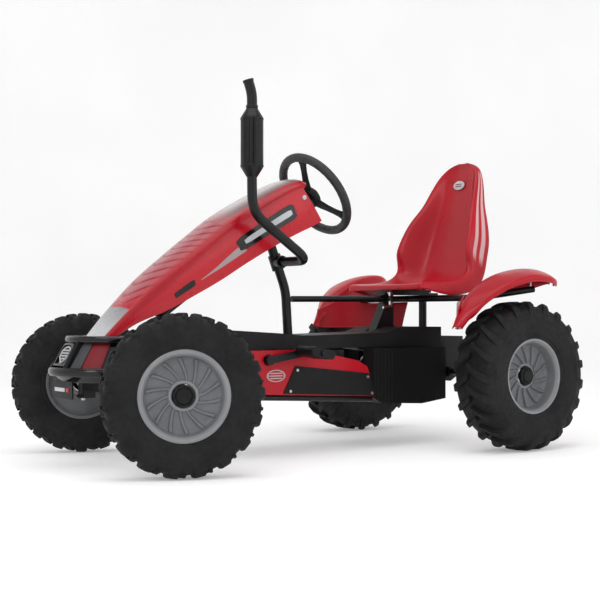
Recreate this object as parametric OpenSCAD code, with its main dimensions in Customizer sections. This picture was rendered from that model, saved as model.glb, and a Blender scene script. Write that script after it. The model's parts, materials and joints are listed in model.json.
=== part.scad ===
// Pedal go kart for children: steel frame, swinging front axle, rack-free
// steering by column, pitman arm and track rod, chain drive to the rear axle
// through a hub gear, plastic hood, bumper, fenders and bucket seat.
// Millimetres. +Z is up, the front is -Y and the kart's left side is +X.
// The origin is on the ground, below the middle of the kart's box.

/* [Overall] */
// Distance between the front and the rear axle
wheelbase = 1078; // [900:1:1300]
// How far the bumper reaches in front of the front axle
front_overhang = 215; // [205:1:260]
// Distance between the front wheels' middle planes, wheels straight ahead
front_track = 667; // [600:1:800]
// Distance between the rear wheels' middle planes
rear_track = 770; // [720:1:920]
// Angle by which the front wheels are turned to the right as drawn
rest_steer = 22.7; // [0:0.1:25]

/* [Wheels] */
// Outer diameter of the front tyres, over the lugs
front_tyre_d = 400; // [380:1:430]
// Width of the front tyres
front_tyre_w = 98; // [90:1:106]
// Outer diameter of the rear tyres, over the lugs
rear_tyre_d = 434; // [400:1:450]
// Width of the rear tyres
rear_tyre_w = 142; // [120:1:160]
// Height of the tread lugs
lug_h = 11; // [6:0.5:14]
// Number of lugs on each shoulder of a front tyre
front_lugs = 18; // [12:1:22]
// Number of lugs on each shoulder of a rear tyre
rear_lugs = 21; // [14:1:24]
// Diameter of the seat where the tyre's bead sits on the rim
bead_d = 203; // [170:1:240]
// Height of the rim's outer flange above the bead seat
flange_h = 10; // [8:0.5:14]
// Thickness of the tyre's casing
casing_t = 7; // [5:0.5:10]
// Thickness of the rim's barrel and disc
rim_t = 5; // [4:0.5:8]
// Number of ribs on a rim's disc
rim_ribs = 12; // [6:1:16]

/* [Front axle] */
// Distance from the kingpin to the wheel's middle plane
kingpin_inset = 60; // [56:1:72]
// Size of the square front axle beam
beam_s = 36; // [30:1:40]
// Diameter of the kingpin bolts
kingpin_d = 12; // [10:1:14]
// Diameter of the wheels' stub axles
stub_d = 12; // [10:1:15]
// Outer diameter of the front wheel bearings
bearing_d = 32; // [26:1:36]
// Length of the steering arms, and of the arm on the steering column
steer_arm = 65; // [55:1:78]
// Diameter of the bolt that the front axle swings on
pivot_d = 16; // [12:1:18]
// Diameter of the track rod
track_rod_d = 12; // [10:1:14]
// Room on each side of the steering ball in the track rod's yoke
yoke_gap = 6; // [5:0.5:8]

/* [Steering] */
// Lean of the steering column above the horizontal
column_angle = 35; // [33:0.5:38]
// Diameter of the steering column
column_d = 18; // [15:1:22]
// Height of the steering wheel's middle above the ground
steering_z = 752.4; // [740:0.1:780]
// How far the steering wheel's middle lies behind the front axle
steering_back = 616.7; // [600:0.1:640]
// Diameter of the steering wheel, over the grip
steering_wheel_d = 277; // [230:1:333]
// Thickness of the steering wheel's grip
grip_d = 26; // [20:1:32]

/* [Frame] */
// Width of the frame's square spine
spine_w = 50; // [40:1:60]
// Height of the spine's top above the ground
spine_top = 328; // [322:1:338]
// Height of the spine tube
spine_h = 38; // [32:1:38]
// Diameter of the steering post
post_d = 27; // [22:1:32]
// Diameter of the tubes that carry the fenders
fender_tube_d = 20; // [16:1:24]
// Distance between the two lower side rails
rail_gap = 236; // [220:1:240]
// Thickness of the welded plates
plate_t = 8; // [6:0.5:10]
// Distance between the two tow bar holes in the rear plate
tow_hole_gap = 90; // [60:1:110]
// Diameter of the tow bar holes
tow_hole_d = 8.5; // [6.5:0.1:10.5]

/* [Drive] */
// How far the pedal crank lies behind the front axle
crank_back = 361; // [355:1:380]
// Height of the pedal crank above the ground
crank_z = 270; // [262:1:270]
// Length of the crank arms
crank_len = 120; // [110:1:125]
// Diameter of the crank's shaft
crank_d = 16; // [12:1:18]
// How far the hub gear lies in front of the rear axle
hub_ahead = 200; // [180:1:220]
// Diameter of the rear axle
axle_d = 20; // [16:1:24]
// Teeth on the chainring
chainring_teeth = 30; // [26:1:32]
// Teeth on both sprockets of the hub gear
hub_teeth = 16; // [14:1:18]
// Teeth on the rear axle's sprocket
axle_teeth = 20; // [16:1:24]
// Length of one chain link
chain_pitch = 12.7; // [12:0.1:13]

/* [Seat] */
// Width of the seat
seat_w = 372; // [320:1:446]
// Length of the seat's pan from its front lip to the back
seat_len = 270; // [250:1:320]
// Height of the seat's top above the ground
seat_top = 892; // [860:1:980]
// Thickness of the seat's shell
seat_t = 5; // [4:0.5:8]
// How far the seat's front lip lies in front of the rear axle
seat_ahead = 199; // [180:1:210]

/* [Body panels] */
// Width of the hood at its rear
hood_w = 190; // [170:1:220]
// Thickness of the hood, covers and fenders
panel_t = 4; // [3:0.5:5]
// Distance between the outer faces of the two side covers
cover_w = 262; // [258:1:270]
// Width of a fender
fender_w = 146; // [120:1:175]
// Height of the exhaust's tip above the ground
exhaust_top = 1035; // [1000:1:1240]
// Diameter of the exhaust's muffler
muffler_d = 62; // [50:1:75]

/* [Fits] */
// Running clearance on the radius of every shaft in its bore
run = 0.05; // [0.03:0.01:0.1]
// Gap between pieces that pass each other
gap = 1; // [0.5:0.1:2]

/* [Hidden] */
$fn = 48;

// Colours
black_steel = [0.06, 0.06, 0.07];
black_plastic = [0.09, 0.09, 0.1];
rubber = [0.13, 0.13, 0.14];
red = [0.78, 0.02, 0.09];
dark_red = [0.35, 0.02, 0.05];
rim_grey = [0.46, 0.47, 0.49];
zinc = [0.72, 0.73, 0.75];

// Places along the kart
overall = front_overhang + wheelbase + rear_tyre_d / 2;
y_front = front_overhang - overall / 2;
y_rear = y_front + wheelbase;
z_front = front_tyre_d / 2;
z_rear = rear_tyre_d / 2;
bar_z = z_front + 38;
y_post = y_front + 520;
y_crank = y_front + crank_back;
y_hub = y_rear - hub_ahead;
z_hub = z_rear + 18;
y_seat = y_rear - seat_ahead;
y_stand = y_rear - 159;
y_tube = y_rear - 96;
z_tube = 445;
z_rail = z_tube + fender_tube_d / 2 + gap;

// Wheels
bead_r = bead_d / 2;
flange_r = bead_r + flange_h;
kingpin_x = front_track / 2 - kingpin_inset;
front_half = front_tyre_w / 2;
rear_half = rear_tyre_w / 2;
front_rim_half = front_half - 11;
rear_rim_half = rear_half - 18;
cap_r = 27;
hub_r = bearing_d / 2 + 8;
hub_in = 33;
hub_out = 20;

// Steering linkage
arm_z = 10;
arm_t = 8;
rod_z = z_front + arm_z + arm_t + 4 + track_rod_d / 2;
eye_h = track_rod_d + 4;
tie_pin_d = 10;
tie_x = steer_arm * sin(rest_steer);
tie_y = y_front + steer_arm * cos(rest_steer);
y_wheel = y_front + steering_back;
y_pitman = tie_y - steer_arm * sin(column_angle) * cos(rest_steer);
column_len = (y_wheel - y_pitman) / cos(column_angle);
z_pitman = steering_z - column_len * sin(column_angle);
ball_r = 8;
z_ball = z_pitman - steer_arm * cos(column_angle) * cos(rest_steer);
bearing_upper = 204;
bearing_lower = column_len - 96;
column_bearing_d = column_d + 14;
bearing_l = 20;

// Drive
function sprocket_r(teeth) = chain_pitch / (2 * sin(180 / teeth));
crank_rest = 9.5;
arm_x = 143;
arm_w = 9;
spindle_d = 12;
pedal_w = 78;
pedal_l = 80;
pedal_h = 26;
pedal_x = arm_x + arm_w / 2 + gap * 3 + pedal_w / 2;
chain_x = 62;
chain_w = 7;
drop_x = 74;
pin_hub_d = 12;
axle_bearing_d = axle_d + 16;
crank_bearing_d = crank_d + 16;
shell_l = 92;

// Outline of the side covers, [along, up], from the crank's place
cover_x = cover_w / 2;
cover_back = y_hub - 143;
rail_r = 8;
function rail_z(y) = 166 - 0.05 * (y - y_crank);

// ---------- helpers ----------

// Turns a shape drawn along +Z so that it lies along +X
module along_x() rotate([90, 0, 90]) children();

// Turns a shape drawn along +Z so that it lies along +Y
module along_y() rotate([-90, 0, 0]) children();

// Cylinder from x0 to x1 on an axis along X
module rod_x(r, x0, x1) translate([x0, 0, 0]) along_x() cylinder(r = r, h = x1 - x0);

// Box from a low corner to a high corner
module block(low, high) translate(low) cube(high - low);

// Extrudes an outline given as [y, z] points from x0 to x1
module side_plate_shape(outline, x0, x1)
    translate([x0, 0, 0]) rotate([90, 0, 90]) linear_extrude(x1 - x0) polygon(outline);

// Round bar between two points
module bar(a, b, r) {
    d = b - a;
    len = norm(d);
    translate(a) rotate([0, acos(d[2] / len), atan2(d[1], d[0])]) cylinder(r = r, h = len);
}

// Round tube that follows a list of points, with slightly swollen elbows
elbow_swell = 0.2;
module tube_run(points, r) {
    for (i = [0 : len(points) - 2]) bar(points[i], points[i + 1], r);
    for (i = [1 : len(points) - 2]) translate(points[i]) sphere(r = r + elbow_swell);
}

// Both sides of the kart
module both_sides() {
    children();
    mirror([1, 0, 0]) children();
}

// Frame of the steering column: +Z up the column, +Y down and back
module column_frame()
    translate([0, y_wheel, steering_z]) rotate([column_angle - 90, 0, 0]) children();

// Frame of a front knuckle: origin on the kingpin, +X out along the stub
module knuckle_frame(side)
    translate([side * kingpin_x, y_front, z_front]) rotate([0, 0, -rest_steer])
        mirror([side < 0 ? 1 : 0, 0, 0]) children();

// Frame of a wheel: origin in its middle, +X outwards
module front_wheel_frame(side) knuckle_frame(side) translate([kingpin_inset, 0, 0]) children();
module rear_wheel_frame(side)
    translate([side * rear_track / 2, y_rear, z_rear]) mirror([side < 0 ? 1 : 0, 0, 0]) children();

// Frame of the crank, turned to its drawn position
module crank_frame() translate([0, y_crank, crank_z]) rotate([crank_rest, 0, 0]) children();

// ---------- wheels ----------

// Outline [radius, across] of half a tyre's outer face, from bead to crown
function tyre_face(r, half, rim_half, inset) = [
    [bead_r + 0.1 + inset * 0.2, rim_half - 3.1 - inset],
    [flange_r + 0.4, rim_half - 3.1 - inset],
    [flange_r + 8, rim_half + 5 - inset],
    [(flange_r + r) / 2, half - inset],
    [r - 22, half - 1 - inset],
    [r - 6, half - 14 - inset * 0.6],
    [r - inset, half * 0.35]
];
function mirrored(points) = [for (i = [len(points) - 1 : -1 : 0]) [points[i][0], -points[i][1]]];

module tyre(d, half, rim_half, lugs) {
    crown = d / 2 - lug_h;
    outer = tyre_face(crown, half - 2, rim_half, 0);
    inner = tyre_face(crown, half - 2, rim_half, casing_t);
    section = concat(outer, mirrored(outer), mirrored([for (p = inner) [p[0], -p[1]]]),
        [for (i = [len(inner) - 1 : -1 : 0]) [inner[i][0], -inner[i][1]]]);
    lug = [
        [crown - 3, half * 0.12], [d / 2, half * 0.12], [d / 2, half - 20],
        [d / 2 - 10, half - 3], [d / 2 - 26, half], [crown - 20, half - 10]
    ];
    lug_w = 360 / lugs * PI / 180 * d / 2 * 0.48;
    color(rubber) union() {
        rotate([0, 90, 0]) rotate_extrude($fn = 96) difference() {
            polygon(concat(outer, mirrored(outer)));
            polygon(concat([[bead_r - 5, inner[0][1]]], inner, mirrored(inner), [[bead_r - 5, -inner[0][1]]]));
        }
        for (side = [1, -1], i = [0 : lugs - 1])
            rotate([i * 360 / lugs - 90, 0, 0]) translate([0, 0, -lug_w / 2])
                linear_extrude(lug_w) polygon([for (p = lug) [side * p[1], p[0]]]);
    }
}

module rim(rim_half, bore_r, hub_start) {
    barrel_in = bead_r - rim_t;
    color(rim_grey) rotate([0, 90, 0]) difference() {
        union() {
            rotate_extrude($fn = 96) polygon([
                [barrel_in, -rim_half], [flange_r, -rim_half], [flange_r, 3 - rim_half],
                [bead_r, 3 - rim_half], [bead_r, rim_half - 3], [flange_r, rim_half - 3],
                [flange_r, rim_half], [barrel_in, rim_half - 4], [barrel_in - 14, 12],
                [hub_r + 6, 9], [hub_r, hub_out], [bore_r, hub_out], [bore_r, -hub_start],
                [hub_r, -hub_start], [hub_r + 2, 4], [barrel_in - 16, 6], [barrel_in, 0]
            ]);
            for (i = [0 : rim_ribs - 1])
                rotate([0, 0, i * 360 / rim_ribs])
                    translate([hub_r - 1, -2, 8]) cube([barrel_in - hub_r - 13, 4, 9]);
        }
        translate([0, 0, -hub_start - 1]) cylinder(r = bore_r, h = hub_start + hub_out + 2);
    }
}

module hub_cap() {
    color(black_plastic) rotate([0, 90, 0]) rotate_extrude($fn = 64) polygon([
        [20, hub_out], [cap_r, hub_out], [cap_r, hub_out + 8], [18, hub_out + 14],
        [0, hub_out + 15], [0, hub_out + 12], [17, hub_out + 11], [20, hub_out + 8]
    ]);
}

module front_bearings() {
    color(zinc) for (x = [-hub_in + 1, hub_out - 13])
        translate([x, 0, 0]) along_x() difference() {
            cylinder(r = bearing_d / 2 - 0.01, h = 12);
            translate([0, 0, -1]) cylinder(r = stub_d / 2 + run, h = 14);
        }
}

module front_tyre(side) front_wheel_frame(side) tyre(front_tyre_d, front_half, front_rim_half, front_lugs);
module front_rim(side) front_wheel_frame(side) rim(front_rim_half, bearing_d / 2, hub_in);
module rear_tyre(side) rear_wheel_frame(side) tyre(rear_tyre_d, rear_half, rear_rim_half, rear_lugs);
module rear_rim(side) rear_wheel_frame(side) rim(rear_rim_half, axle_d / 2 + run, hub_in + 15);

module front_tyre_left() front_tyre(1);
module front_tyre_right() front_tyre(-1);
module front_rim_left() front_rim(1);
module front_rim_right() front_rim(-1);
module front_cap_left() front_wheel_frame(1) hub_cap();
module front_cap_right() front_wheel_frame(-1) hub_cap();
module front_bearings_left() front_wheel_frame(1) front_bearings();
module front_bearings_right() front_wheel_frame(-1) front_bearings();
module rear_tyre_left() rear_tyre(1);
module rear_tyre_right() rear_tyre(-1);
module rear_rim_left() rear_rim(1);
module rear_rim_right() rear_rim(-1);
module rear_cap_left() rear_wheel_frame(1) hub_cap();
module rear_cap_right() rear_wheel_frame(-1) hub_cap();

// ---------- front axle ----------

ear_in = 32;
ear_t = 8;
web_x = kingpin_x - 42;

module front_axle_beam() {
    half = beam_s / 2;
    color(black_steel) translate([0, y_front, z_front]) difference() {
        union() {
            block([-web_x, -half, -half], [web_x, half, half]);
            translate([0, -half - 4, 0]) along_y() cylinder(r = pivot_d / 2 + 12, h = beam_s + 8);
            both_sides() {
                block([web_x, -half, -ear_in - ear_t], [web_x + ear_t, half, ear_in + ear_t]);
                for (z = [ear_in, -ear_in - ear_t]) {
                    block([web_x, -half, z], [kingpin_x, half, z + ear_t]);
                    translate([kingpin_x, 0, z]) cylinder(r = half, h = ear_t);
                }
            }
        }
        translate([0, -half - 5, 0]) along_y() cylinder(r = pivot_d / 2 + run, h = beam_s + 10);
        both_sides() translate([kingpin_x, 0, -60]) cylinder(r = kingpin_d / 2 + run, h = 120);
    }
}

module kingpins() {
    color(zinc) both_sides() translate([kingpin_x, y_front, z_front]) {
        cylinder(r = kingpin_d / 2, h = 2 * (ear_in + ear_t) + 8, center = true);
        for (z = [ear_in + ear_t, -ear_in - ear_t - 8])
            translate([0, 0, z]) cylinder(r = kingpin_d / 2 + 4, h = 8, $fn = 6);
    }
}

module axle_pivot_bolt() {
    head_y = y_front - beam_s / 2 - 4 - gap;
    color(zinc) translate([0, 0, z_front]) {
        translate([0, head_y, 0]) along_y() cylinder(r = pivot_d / 2, h = beam_s + 8 + 2 * gap + 40);
        translate([0, head_y - 9, 0]) along_y() cylinder(r = pivot_d / 2 + 5, h = 9, $fn = 6);
    }
}

module knuckle(side) {
    barrel_r = kingpin_d / 2 + 8;
    arm_bottom = arm_z;
    color(black_steel) knuckle_frame(side) difference() {
        union() {
            cylinder(r = barrel_r, h = 2 * ear_in - 2 * gap, center = true);
            rod_x(stub_d / 2, 0, kingpin_inset + hub_out - 2);
            rod_x(stub_d / 2 + 3, 0, kingpin_inset - hub_in - gap);
            block([-8, 0, arm_bottom], [8, steer_arm, arm_bottom + arm_t]);
            translate([0, steer_arm, arm_bottom]) cylinder(r = 9, h = arm_t);
            translate([0, steer_arm, arm_bottom]) cylinder(r = tie_pin_d / 2, h = arm_t + eye_h + 4);
            translate([0, steer_arm, arm_bottom + arm_t + eye_h + 3]) cylinder(r = 8, h = 5, $fn = 6);
        }
        translate([0, 0, -40]) cylinder(r = kingpin_d / 2 + run, h = 80);
    }
}
module knuckle_left() knuckle(1);
module knuckle_right() knuckle(-1);

module track_rod() {
    yoke_in = ball_r + yoke_gap;
    lug_top = z_ball + 5;
    color(black_steel) translate([tie_x, tie_y, 0]) difference() {
        union() {
            translate([0, 0, rod_z]) rod_x(track_rod_d / 2, -kingpin_x, kingpin_x);
            for (x = [-kingpin_x, kingpin_x])
                translate([x, 0, rod_z]) cylinder(r = 10, h = eye_h, center = true);
            block([-yoke_in - 4, -8, rod_z - track_rod_d / 2], [yoke_in + 4, 8, rod_z + 12]);
            for (x = [-yoke_in - 4, yoke_in])
                block([x, -12, rod_z], [x + 4, 12, lug_top]);
        }
        for (x = [-kingpin_x, kingpin_x])
            translate([x, 0, rod_z]) cylinder(r = tie_pin_d / 2 + run, h = eye_h + 2, center = true);
    }
}

// ---------- steering ----------

module steering_shaft() {
    color(black_steel) column_frame() rotate([0, 0, -rest_steer]) {
        translate([0, 0, -column_len - 6]) cylinder(r = column_d / 2, h = column_len - 20);
        translate([0, 0, -column_len - 8]) cylinder(r = column_d / 2 + 6, h = 16);
        translate([0, 0, -column_len]) rotate([-90, 0, 0]) cylinder(r = 4.5, h = steer_arm);
        translate([0, steer_arm, -column_len]) sphere(r = ball_r);
        for (z = [-bearing_upper - bearing_l / 2 - 6 - gap, -bearing_lower + bearing_l / 2 + gap])
            translate([0, 0, z]) cylinder(r = column_d / 2 + 4, h = 6);
    }
}

// Steering wheel: a round grip, three dished spokes and a hub
module steering_wheel() {
    rim_r = steering_wheel_d / 2 - grip_d / 2;
    dish = 18;
    hub = 32;
    spoke = [rim_r - hub + 10, 26, 9];
    tilt = atan2(dish, rim_r - hub);
    color(black_plastic) column_frame() rotate([0, 0, -rest_steer]) difference() {
        union() {
            rotate_extrude($fn = 96) translate([rim_r, 0]) circle(r = grip_d / 2, $fn = 32);
            translate([0, 0, -dish - 14]) cylinder(r = hub, h = 20);
            for (a = [-53, 67, 187]) rotate([0, 0, a]) translate([hub - 6, 0, -dish])
                rotate([0, -tilt, 0]) translate([0, -spoke[1] / 2, -spoke[2] / 2]) cube(spoke);
        }
        translate([0, 0, -dish - 15]) cylinder(r = column_d / 2 + 0.01, h = 12);
    }
}

module steering_wheel_cap() {
    color(black_plastic) column_frame() translate([0, 0, -12]) cylinder(r1 = 30, r2 = 27, h = 7);
}

module column_bearings() {
    color(zinc) column_frame() for (z = [-bearing_upper, -bearing_lower])
        translate([0, 0, z]) difference() {
            cylinder(r = column_bearing_d / 2 - 0.01, h = bearing_l, center = true);
            cylinder(r = column_d / 2 + run, h = bearing_l + 2, center = true);
        }
}

// Tube that holds a column bearing
module bearing_housing(z)
    column_frame() translate([0, 0, z])
        cylinder(r = column_bearing_d / 2 + 4, h = bearing_l, center = true);
module bearing_bore(z)
    column_frame() translate([0, 0, z])
        cylinder(r = column_bearing_d / 2, h = bearing_l + 20, center = true);

// Place of a point on the column's axis, measured down from the wheel
function on_column(s) =
    [0, y_wheel - s * cos(column_angle), steering_z - s * sin(column_angle)];

module steering_post() {
    top = on_column(bearing_upper);
    color(black_steel) difference() {
        union() {
            tube_run([
                [0, y_post, spine_top + 1.2], [0, y_post - 10, spine_top + 135],
                [0, y_post - 30, clamp_z - 30], top - [0, 0, column_bearing_d / 2 + 2]
            ], post_d / 2);
            bearing_housing(-bearing_upper);
            translate([0, y_post, spine_top]) cylinder(r = post_d / 2 + 7, h = 5);
        }
        bearing_bore(-bearing_upper);
        column_frame() translate([0, 0, -bearing_upper - 40]) cylinder(r = column_bearing_d / 2 - 1, h = 40);
    }
}

// ---------- frame ----------

neck_half = beam_s / 2 + 4;
neck_y = y_front + neck_half + 2 * gap;
neck_top = z_front + 14;
neck_bottom = z_front - 20;

module main_frame() {
    half = spine_w / 2;
    half_beam = beam_s / 2;
    spine_low = spine_top - spine_h;
    lower = on_column(bearing_lower);
    arm_x_in = half + gap;
    arm_x_out = arm_x_in + 16;
    arm_low = z_front + half_beam + 4;
    riser_y = neck_y + gap;
    rear_end = y_rear + 62;
    color(black_steel) difference() {
        union() {
            // spine and the neck that drops to the front axle's pivot
            block([-half, y_front + 230, spine_low], [half, rear_end, spine_top]);
            side_plate_shape([
                [neck_y, neck_bottom], [neck_y, neck_top], [neck_y + 68, neck_top],
                [y_front + 232, spine_top], [y_front + 232, spine_low],
                [neck_y + 100, neck_bottom]
            ], -half, half);
            // bracket of the lower column bearing
            block([-12, lower[1] - 10, neck_bottom + 10], [12, lower[1] + 10, lower[2] - 10]);
            bearing_housing(-bearing_lower);
            // arms over the axle that carry the bumper and the hood's nose
            block([-arm_x_out, riser_y, neck_bottom], [arm_x_out, riser_y + 14, neck_top]);
            both_sides() {
                block([arm_x_in, riser_y, neck_bottom], [arm_x_out, riser_y + 14, arm_low + 14]);
                block([arm_x_in, y_front - 165, arm_low], [arm_x_out, riser_y + 14, bar_z]);
                block([arm_x_in, y_front - 118, arm_low], [arm_x_out, y_front - 107, bar_z + 88]);
            }
            // bottom bracket shell
            translate([0, y_crank, crank_z]) rod_x(crank_bearing_d / 2 + 4, -shell_l / 2, shell_l / 2);
            // lower side rails and their cross bars
            both_sides() bar(
                [rail_gap / 2, y_crank - 96, rail_z(y_crank - 96)],
                [rail_gap / 2, cover_back, rail_z(cover_back)], rail_r);
            for (y = [y_crank - 88, cover_back - 8]) translate([0, y, rail_z(y)])
                rod_x(rail_r - 1, -rail_gap / 2, rail_gap / 2);
            block([-10, y_crank - 96, rail_z(y_crank - 88)], [10, y_crank - 80, spine_low + 1]);
            block([-10, cover_back - 16, rail_z(cover_back)], [10, cover_back, spine_low + 1]);
            // rear drop plates that carry the hub gear and the rear axle
            both_sides() side_plate_shape([
                [y_hub - 30, spine_top], [y_hub - 30, z_hub - 10], [y_hub - 10, z_hub - 26],
                [y_rear + 10, z_rear - 30], [rear_end, z_rear], [rear_end, spine_top]
            ], drop_x, drop_x + plate_t);
            for (y = [y_hub - 30, rear_end - 16])
                block([-drop_x - 1, y, spine_low], [drop_x + 1, y + 16, spine_top]);
            block([-drop_x - 1, rear_end - plate_t, z_rear + 12], [drop_x + 1, rear_end, spine_low + 1]);
            // supports of the seat rail
            side_plate_shape([
                [y_stand - 94, spine_top - 1], [y_stand - 28, z_rail + 2],
                [y_stand - 12, z_rail + 2], [y_stand - 12, spine_top - 1]
            ], -18, 18);
            translate([0, y_stand + 125, spine_top - 1]) cylinder(r = 12.5, h = z_rail - spine_top + 2);
            block([-20, y_stand - 50, z_rail], [20, y_stand + 172, z_rail + 8]);
            // foot of the steering post
            translate([0, y_post, spine_top - 4]) cylinder(r = post_d / 2 + 9, h = 4);
        }
        // bores
        translate([0, neck_y - 1, z_front]) along_y() cylinder(r = pivot_d / 2 + run, h = 46);
        translate([0, y_crank, crank_z]) rod_x(crank_bearing_d / 2, -shell_l, shell_l);
        bearing_bore(-bearing_lower);
        translate([0, y_rear, z_rear]) rod_x(axle_bearing_d / 2, -drop_x - 20, drop_x + 20);
        translate([0, y_hub, z_hub]) rod_x(pin_hub_d / 2, -drop_x - 20, drop_x + 20);
        bar([0, y_post + post_d / 2, z_tube - 4], [0, y_tube, z_tube], fender_tube_d / 2 - 0.7);
        for (x = [-tow_hole_gap / 2, tow_hole_gap / 2])
            translate([x, rear_end - 30, z_rear + 42]) along_y() cylinder(r = tow_hole_d / 2, h = 40);
    }
}

module fender_tubes() {
    r = fender_tube_d / 2;
    elbow = rear_track / 2 - 85;
    color(black_steel) {
        bar([0, y_post + post_d / 2, z_tube - 4], [0, y_tube - r, z_tube], r - 1);
        both_sides() tube_run([
            [0, y_tube, z_tube], [elbow, y_tube, z_tube], [elbow + 30, y_tube + 25, z_tube + 5],
            [rear_track / 2, y_rear + 60, z_rear + 254]
        ], r);
    }
}

// Bearings of the crank and of the rear axle
module drive_bearings() {
    color(zinc) both_sides() {
        translate([0, y_rear, z_rear]) difference() {
            rod_x(axle_bearing_d / 2 - 0.01, drop_x - 2, drop_x + plate_t + 2);
            rod_x(axle_d / 2 + run, drop_x - 4, drop_x + plate_t + 4);
        }
        translate([0, y_crank, crank_z]) difference() {
            rod_x(crank_bearing_d / 2 - 0.01, shell_l / 2 - 12, shell_l / 2);
            rod_x(crank_d / 2 + run, shell_l / 2 - 13, shell_l / 2 + 1);
        }
    }
}

// Fixed pin that the hub gear turns on, with a nut at each end
module hub_axle() {
    color(zinc) translate([0, y_hub, z_hub]) {
        rod_x(pin_hub_d / 2 - 0.01, -drop_x - plate_t - 8, drop_x + plate_t + 8);
        both_sides() translate([drop_x + plate_t, 0, 0]) along_x() cylinder(r = 10, h = 6, $fn = 6);
    }
}

// ---------- drive ----------

// Toothed wheel, drawn along +Z from 0
module sprocket(teeth, t, bore_r) {
    r = sprocket_r(teeth);
    difference() {
        linear_extrude(t) polygon([for (i = [0 : teeth - 1], k = [[0, 2.5], [0.3, 2.5], [0.5, -3.5], [0.8, -3.5]])
            (r + k[1]) * [cos((i + k[0]) * 360 / teeth), sin((i + k[0]) * 360 / teeth)]]);
        translate([0, 0, -1]) cylinder(r = bore_r, h = t + 2);
    }
}

// Closed chain round two sprockets, [y, z] and radius for each
module chain_loop(a, ra, b, rb, x) {
    inner = 3.2;
    outer = 9;
    color(zinc) side_extrude(x) difference() {
        hull() {
            translate(a) circle(r = ra + outer);
            translate(b) circle(r = rb + outer);
        }
        hull() {
            translate(a) circle(r = ra + inner);
            translate(b) circle(r = rb + inner);
        }
    }
}
module side_extrude(x) translate([x - chain_w / 2, 0, 0]) rotate([90, 0, 90]) linear_extrude(chain_w) children();

module drive_chain()
    chain_loop([y_crank, crank_z], sprocket_r(chainring_teeth), [y_hub, z_hub], sprocket_r(hub_teeth), chain_x);
module axle_chain()
    chain_loop([y_hub, z_hub], sprocket_r(hub_teeth), [y_rear, z_rear], sprocket_r(axle_teeth), -chain_x);

module hub_gear() {
    color(zinc) translate([0, y_hub, z_hub]) difference() {
        union() {
            rod_x(40, -46, 46);
            rod_x(24, -drop_x + 2, drop_x - 2);
            translate([chain_x - 1.5, 0, 0]) along_x() sprocket(hub_teeth, 3, 10);
            translate([-chain_x - 1.5, 0, 0]) along_x() sprocket(hub_teeth, 3, 10);
        }
        rod_x(pin_hub_d / 2 + run, -drop_x, drop_x);
    }
}

module rear_axle() {
    half = rear_track / 2;
    color(zinc) translate([0, y_rear, z_rear]) {
        rod_x(axle_d / 2, -half - hub_out - 6, half + hub_out + 6);
        both_sides() {
            rod_x(axle_d / 2 + 5, drop_x + plate_t + 2 + gap, drop_x + plate_t + 14);
            rod_x(axle_d / 2 + 5, half - hub_in - 15 - gap - 12, half - hub_in - 15 - gap);
            translate([half + hub_out, 0, 0]) rod_x(axle_d / 2 + 5, gap, 8);
        }
    }
}

module axle_sprocket() {
    color(zinc) translate([0, y_rear, z_rear]) difference() {
        union() {
            translate([-chain_x - 1.5, 0, 0]) along_x() sprocket(axle_teeth, 3, 9);
            rod_x(22, -chain_x + 1.5, -chain_x + 16);
        }
        rod_x(axle_d / 2 + 0.01, -chain_x - 5, -chain_x + 20);
    }
}

// Shaft, two opposite arms and the pedal spindles
module crank() {
    spindle_end = pedal_x + pedal_w / 2 + gap + 4;
    color(zinc) crank_frame() {
        rod_x(crank_d / 2, -arm_x, arm_x);
        both_sides() rod_x(crank_d / 2 + 5, arm_x - arm_w / 2 - 5, arm_x + arm_w / 2);
        for (side = [1, -1]) {
            y0 = side > 0 ? 0 : -crank_len;
            x = side * arm_x;
            block([x - arm_w / 2, y0, -10], [x + arm_w / 2, y0 + crank_len, 10]);
            translate([x - arm_w / 2, side * crank_len, 0]) rod_x(11, 0, arm_w);
            mirror([side < 0 ? 1 : 0, 0, 0]) translate([0, side * crank_len, 0]) {
                rod_x(spindle_d / 2, arm_x, spindle_end);
                rod_x(spindle_d / 2 + 3, spindle_end - 4, spindle_end);
            }
        }
    }
}

module chainring() {
    color(zinc) crank_frame() difference() {
        union() {
            translate([chain_x - 1.5, 0, 0]) along_x() sprocket(chainring_teeth, 3, 5);
            rod_x(24, chain_x, chain_x + 12);
        }
        rod_x(crank_d / 2 + 0.01, chain_x - 5, chain_x + 20);
    }
}

// Pedal: a block with rounded ends, tilted as a foot leaves it
module pedal(side) {
    r = pedal_h / 2;
    color(black_plastic) crank_frame() translate([side * pedal_x, side * crank_len, 0])
        rotate([-crank_rest - 12, 0, 0]) difference() {
            union() {
                block([-pedal_w / 2, -pedal_l / 2 + r, -r], [pedal_w / 2, pedal_l / 2 - r, r]);
                for (y = [-pedal_l / 2 + r, pedal_l / 2 - r])
                    translate([0, y, 0]) rod_x(r, -pedal_w / 2, pedal_w / 2);
            }
            rod_x(spindle_d / 2 + run, -pedal_w, pedal_w);
        }
}
module pedal_left() pedal(1);
module pedal_right() pedal(-1);

// ---------- covers ----------

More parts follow.
